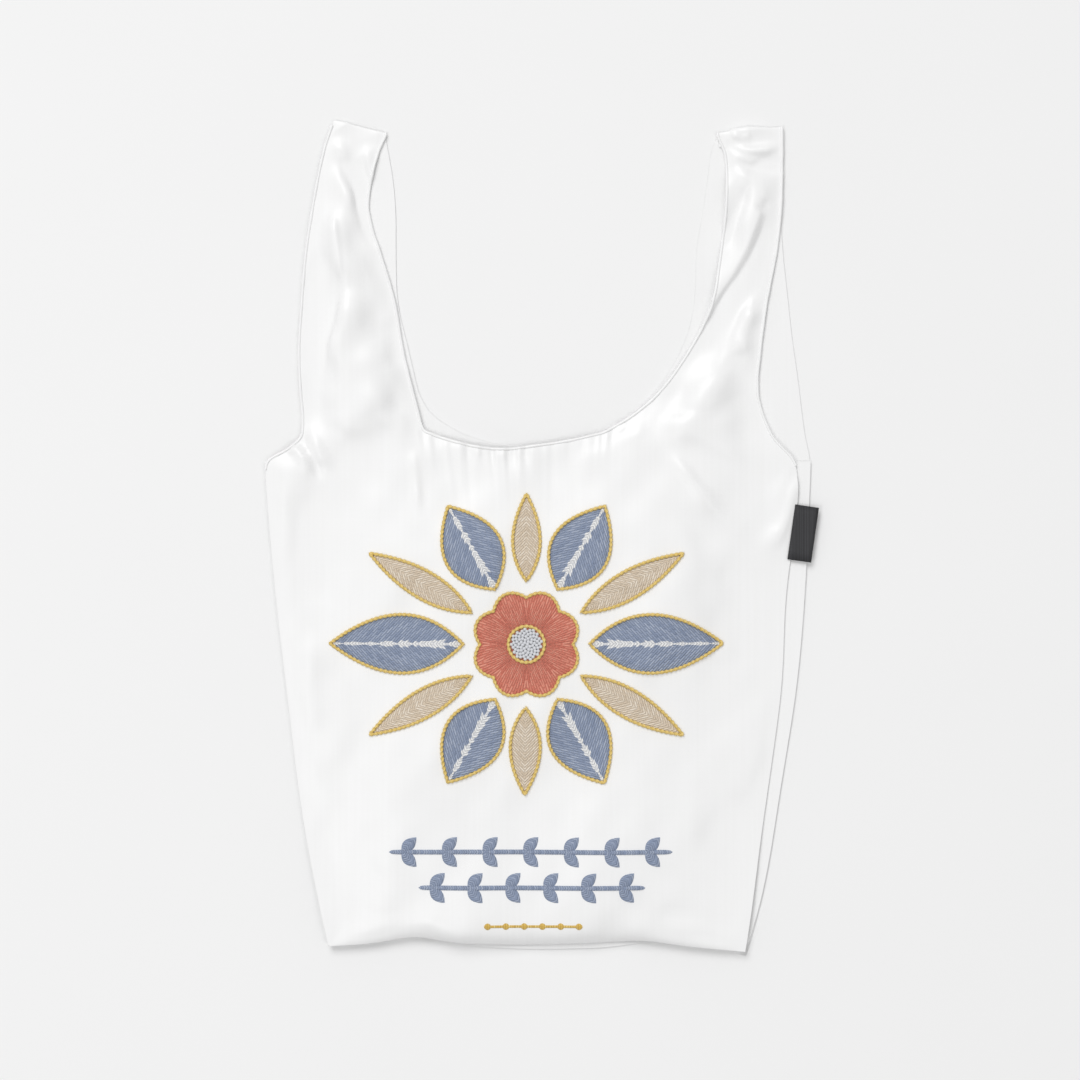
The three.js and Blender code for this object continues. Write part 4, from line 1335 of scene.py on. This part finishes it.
class BAG_OT_bloom(bpy.types.Operator):
    """Stitches the eight-petalled bloom and its knotted heart"""

    bl_idname = "bag.bloom"
    bl_label = "Bloom"

    def execute(self, context):
        sizes = context.scene.thread_sizes
        tree = front_tree()
        low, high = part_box("bloom")
        centre = (low + high) / 2
        reach = (high.x - low.x) / 2
        heart_low, heart_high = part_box("bloom_heart")
        inner = (heart_high.x - heart_low.x) / 2
        start = inner * BLOOM_INSIDE

        def petal_wave(angle):
            return abs(math.sin(PETALS * angle / 2))

        def rim(angle):
            return reach - sizes.notch * (1 - petal_wave(angle))

        def shape(turn, across):
            angle = 2 * math.pi * turn
            part = (across + 1) / 2
            radius = start + (rim(angle) - start) * part
            edge = min(1, PETAL_EDGE * (1 - part))
            puff = petal_wave(angle) ** PETAL_ROUND * math.sin(math.pi * part)
            height = sizes.fill_rise * (0.5 + 0.5 * edge) + sizes.petal_rise * puff
            petal = abs((turn * PETALS) % 1 - 0.5)
            stitch = (petal * reach * 2 * math.pi / PETALS, radius)
            return around(centre, radius, angle, height), stitch

        mesh = stitched_grid(BLOOM_GRID, shape)
        add_fill("bloom_fill", mesh, tree, "bloom", "red_fill", sizes)
        add_outline("bloom_cord", ring(centre, rim, BLOOM_POINTS), tree, sizes)
        self.add_knots(centre, inner, tree, sizes)
        rim_points = ring(centre, lambda angle: inner, HEART_POINTS)
        lift = sizes.fill_rise + sizes.cord_radius * HEART_CORD_LIFT
        add_cord("bloom_heart_cord", rim_points, lift, tree, sizes)
        return {"FINISHED"}

    def add_knots(self, centre, inner, tree, sizes):
        """Fills the heart with knots in the order of a sunflower's seeds."""
        mesh = bmesh.new()
        room = inner - sizes.knot_radius * KNOT_MARGIN
        knots = round(KNOT_COVER * (inner / sizes.knot_radius) ** 2)
        golden_angle = math.pi * (3 - math.sqrt(5))
        lift = sizes.fill_rise + KNOT_LIFT * sizes.knot_radius
        for index in range(knots):
            reach = room * math.sqrt((index + 0.5) / knots)
            knot = seated(tree, around(centre, reach, index * golden_angle, lift))
            at_knot = Matrix.Translation(knot)
            bmesh.ops.create_icosphere(mesh, subdivisions=2, radius=sizes.knot_radius, matrix=at_knot)
        mesh.loops.layers.uv.new(STITCH_MAP)
        new_piece("bloom_heart_knots", mesh, "bloom_heart", "white_fill")


class BAG_OT_leaves(bpy.types.Operator):
    """Stitches the blue and beige leaves with their gold outlines"""

    bl_idname = "bag.leaves"
    bl_label = "Leaves"

    def execute(self, context):
        sizes = context.scene.thread_sizes
        tree = front_tree()
        low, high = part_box("bloom")
        for kind in ("blue", "beige"):
            for index in range(LEAF_COUNT):
                node = f"leaf_{kind}_{index + 1}"
                leaf = node_leaf(node, (low + high) / 2)
                mesh = leaf_grid(leaf, sizes.fill_rise, LEAF_GRID)
                add_fill(f"{node}_fill", mesh, tree, node, f"{kind}_fill", sizes)
                add_outline(f"{node}_cord", leaf_outline(leaf, sizes.cord_step), tree, sizes)
        return {"FINISHED"}


class BAG_OT_vines(bpy.types.Operator):
    """Stitches the two satin vines"""

    bl_idname = "bag.vines"
    bl_label = "Vines"

    def execute(self, context):
        sizes = context.scene.thread_sizes
        tree = front_tree()
        for node in ("vine_upper", "vine_lower"):
            mesh = self.vine(*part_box(node), sizes)
            add_fill(f"{node}_satin", mesh, tree, node, "blue_satin", sizes)
        return {"FINISHED"}

    def vine(self, low, high, sizes):
        middle = (low.y + high.y) / 2
        whole = high.x - low.x
        leaf_size = (sizes.vine_leaf_length, sizes.vine_leaf_width)

        def stem(along, across):
            run = low.x + whole * along
            ends = math.sqrt(max(0, 1 - abs(2 * along - 1) ** STEM_BLUNT))
            out = across * sizes.stem_width / 2 * ends
            return Vector((run, middle + out, dome(across, sizes.satin_rise) * ends)), (run, out)

        mesh = stitched_grid(STEM_GRID, stem)
        pairs = int(whole / sizes.vine_pitch)
        for index in range(pairs):
            place_x = low.x + (index + 0.5) * whole / pairs
            root = Vector((place_x - sizes.vine_leaf_length * VINE_LEAF_BACK, middle, 0))
            for lean in (math.pi / 4, -math.pi / 4):
                direction = Vector((math.cos(lean), math.sin(lean), 0))
                leaf = (root, direction, *leaf_size)
                merge_into(mesh, leaf_grid(leaf, sizes.satin_rise, VINE_LEAF_GRID))
        return mesh


class BAG_OT_gold_row(bpy.types.Operator):
    """Stitches the small row of gold beads"""

    bl_idname = "bag.gold_row"
    bl_label = "Gold row"

    def execute(self, context):
        sizes = context.scene.thread_sizes
        low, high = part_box("gold_row")
        middle = (low.y + high.y) / 2
        radius = (high.y - low.y) / 2
        whole = high.x - low.x

        def thread(along, across):
            run = low.x + whole * along
            out = across * sizes.bead_thread
            return Vector((run, middle + out, dome(across, sizes.bead_thread_rise))), (run, out)

        mesh = stitched_grid(BEAD_THREAD_GRID, thread)
        for index in range(BEADS):
            run = radius + (whole - 2 * radius) * index / (BEADS - 1)
            merge_into(mesh, self.bead(Vector((low.x + run, middle, 0)), radius, sizes.satin_rise))
        add_fill("gold_row_satin", mesh, front_tree(), "gold_row", "gold_satin", sizes)
        return {"FINISHED"}

    def bead(self, centre, radius, rise):
        def shape(turn, across):
            part = (across + 1) / 2
            out = around(Vector((0, 0)), radius * part, 2 * math.pi * turn, rise * (1 - part**BEAD_POWER))
            return centre + out, (out.x, out.y)

        return stitched_grid(BEAD_GRID, shape)


class BAG_OT_stage(bpy.types.Operator):
    """Lays the floor and places the lamps and the camera"""

    bl_idname = "bag.stage"
    bl_label = "Stage"

    def execute(self, context):
        stage = context.scene.stage_sizes
        self.add_floor(stage)
        self.add_sky(context.scene, stage)
        self.add_lamp("lamp_top", LAMP_TOP_PLACE, stage.top_power, stage.top_size)
        self.add_lamp("lamp_left", LAMP_LEFT_PLACE, stage.left_power, stage.side_size)
        self.add_lamp("lamp_right", LAMP_RIGHT_PLACE, stage.right_power, stage.side_size)
        self.add_camera(stage)
        context.scene.view_settings.view_transform = "Standard"
        return {"FINISHED"}

    def add_floor(self, stage):
        mesh = bmesh.new()
        lowered = Matrix.Translation((0, 0, -stage.floor_gap))
        bmesh.ops.create_grid(mesh, x_segments=1, y_segments=1, size=stage.floor_size / 2, matrix=lowered)
        data = bpy.data.meshes.new("floor")
        mesh.to_mesh(data)
        mesh.free()
        data.materials.append(bpy.data.materials["floor"])
        floor = put_in_scene("floor", data)

    def add_sky(self, scene, stage):
        scene.world = bpy.data.worlds.new("sky")
        scene.world.use_nodes = True
        tree = scene.world.node_tree
        fill_in(tree, tree.nodes["Background"], Color=(1, 1, 1, 1), Strength=stage.sky)

    def add_lamp(self, name, spot, power, size):
        light = bpy.data.lights.new(name, "AREA")
        light.shape = "SQUARE"
        light.size = size
        light.energy = power
        lamp = put_in_scene(name, light)
        lamp.location = spot
        lamp.rotation_euler = (-Vector(spot)).to_track_quat("-Z", "Y").to_euler()

    def add_camera(self, stage):
        lens = bpy.data.cameras.new("camera")
        lens.sensor_width = SENSOR
        lens.lens = SENSOR * (stage.camera_height - BAG_MIDDLE) / stage.view_width
        camera = put_in_scene("camera", lens)
        camera.location = (stage.view_right, stage.view_up, stage.camera_height)
        bpy.context.scene.camera = camera


class BAG_PT_panel(bpy.types.Panel):
    """Lists the bag's sizes, colours and pieces in the sidebar"""

    bl_idname = "BAG_PT_panel"
    bl_label = "Organza bag"
    bl_space_type = "VIEW_3D"
    bl_region_type = "UI"
    bl_category = "Bag"

    def draw(self, context):
        for setting in SETTINGS:
            group = getattr(context.scene, setting)
            for name in group.bl_rna.properties.keys():
                if name not in ("rna_type", "name"):
                    self.layout.prop(group, name)
        for step in STEPS:
            self.layout.operator(step.bl_idname)


SETTINGS = {
    "cloth_sizes": ClothSizes,
    "thread_sizes": ThreadSizes,
    "bag_colours": BagColours,
    "stage_sizes": StageSizes,
}
STEPS = (
    BAG_OT_front,
    BAG_OT_back,
    BAG_OT_gussets,
    BAG_OT_hems,
    BAG_OT_label,
    BAG_OT_bloom,
    BAG_OT_leaves,
    BAG_OT_vines,
    BAG_OT_gold_row,
    BAG_OT_front_wall,
    BAG_OT_stage,
)


def register():
    for part in (*SETTINGS.values(), *STEPS, BAG_PT_panel):
        bpy.utils.register_class(part)
    for name, setting in SETTINGS.items():
        setattr(bpy.types.Scene, name, bpy.props.PointerProperty(type=setting))


def unregister():
    for name in SETTINGS:
        delattr(bpy.types.Scene, name)
    for part in reversed((*SETTINGS.values(), *STEPS, BAG_PT_panel)):
        bpy.utils.unregister_class(part)


def main():
    register()
    make_materials(bpy.context.scene)
    bpy.ops.bag.front()
    bpy.ops.bag.back()
    bpy.ops.bag.gussets()
    bpy.ops.bag.hems()
    bpy.ops.bag.label()
    bpy.ops.bag.bloom()
    bpy.ops.bag.leaves()
    bpy.ops.bag.vines()
    bpy.ops.bag.gold_row()
    bpy.ops.bag.front_wall()
    bpy.ops.bag.stage()


if __name__ == "__main__":
    main()
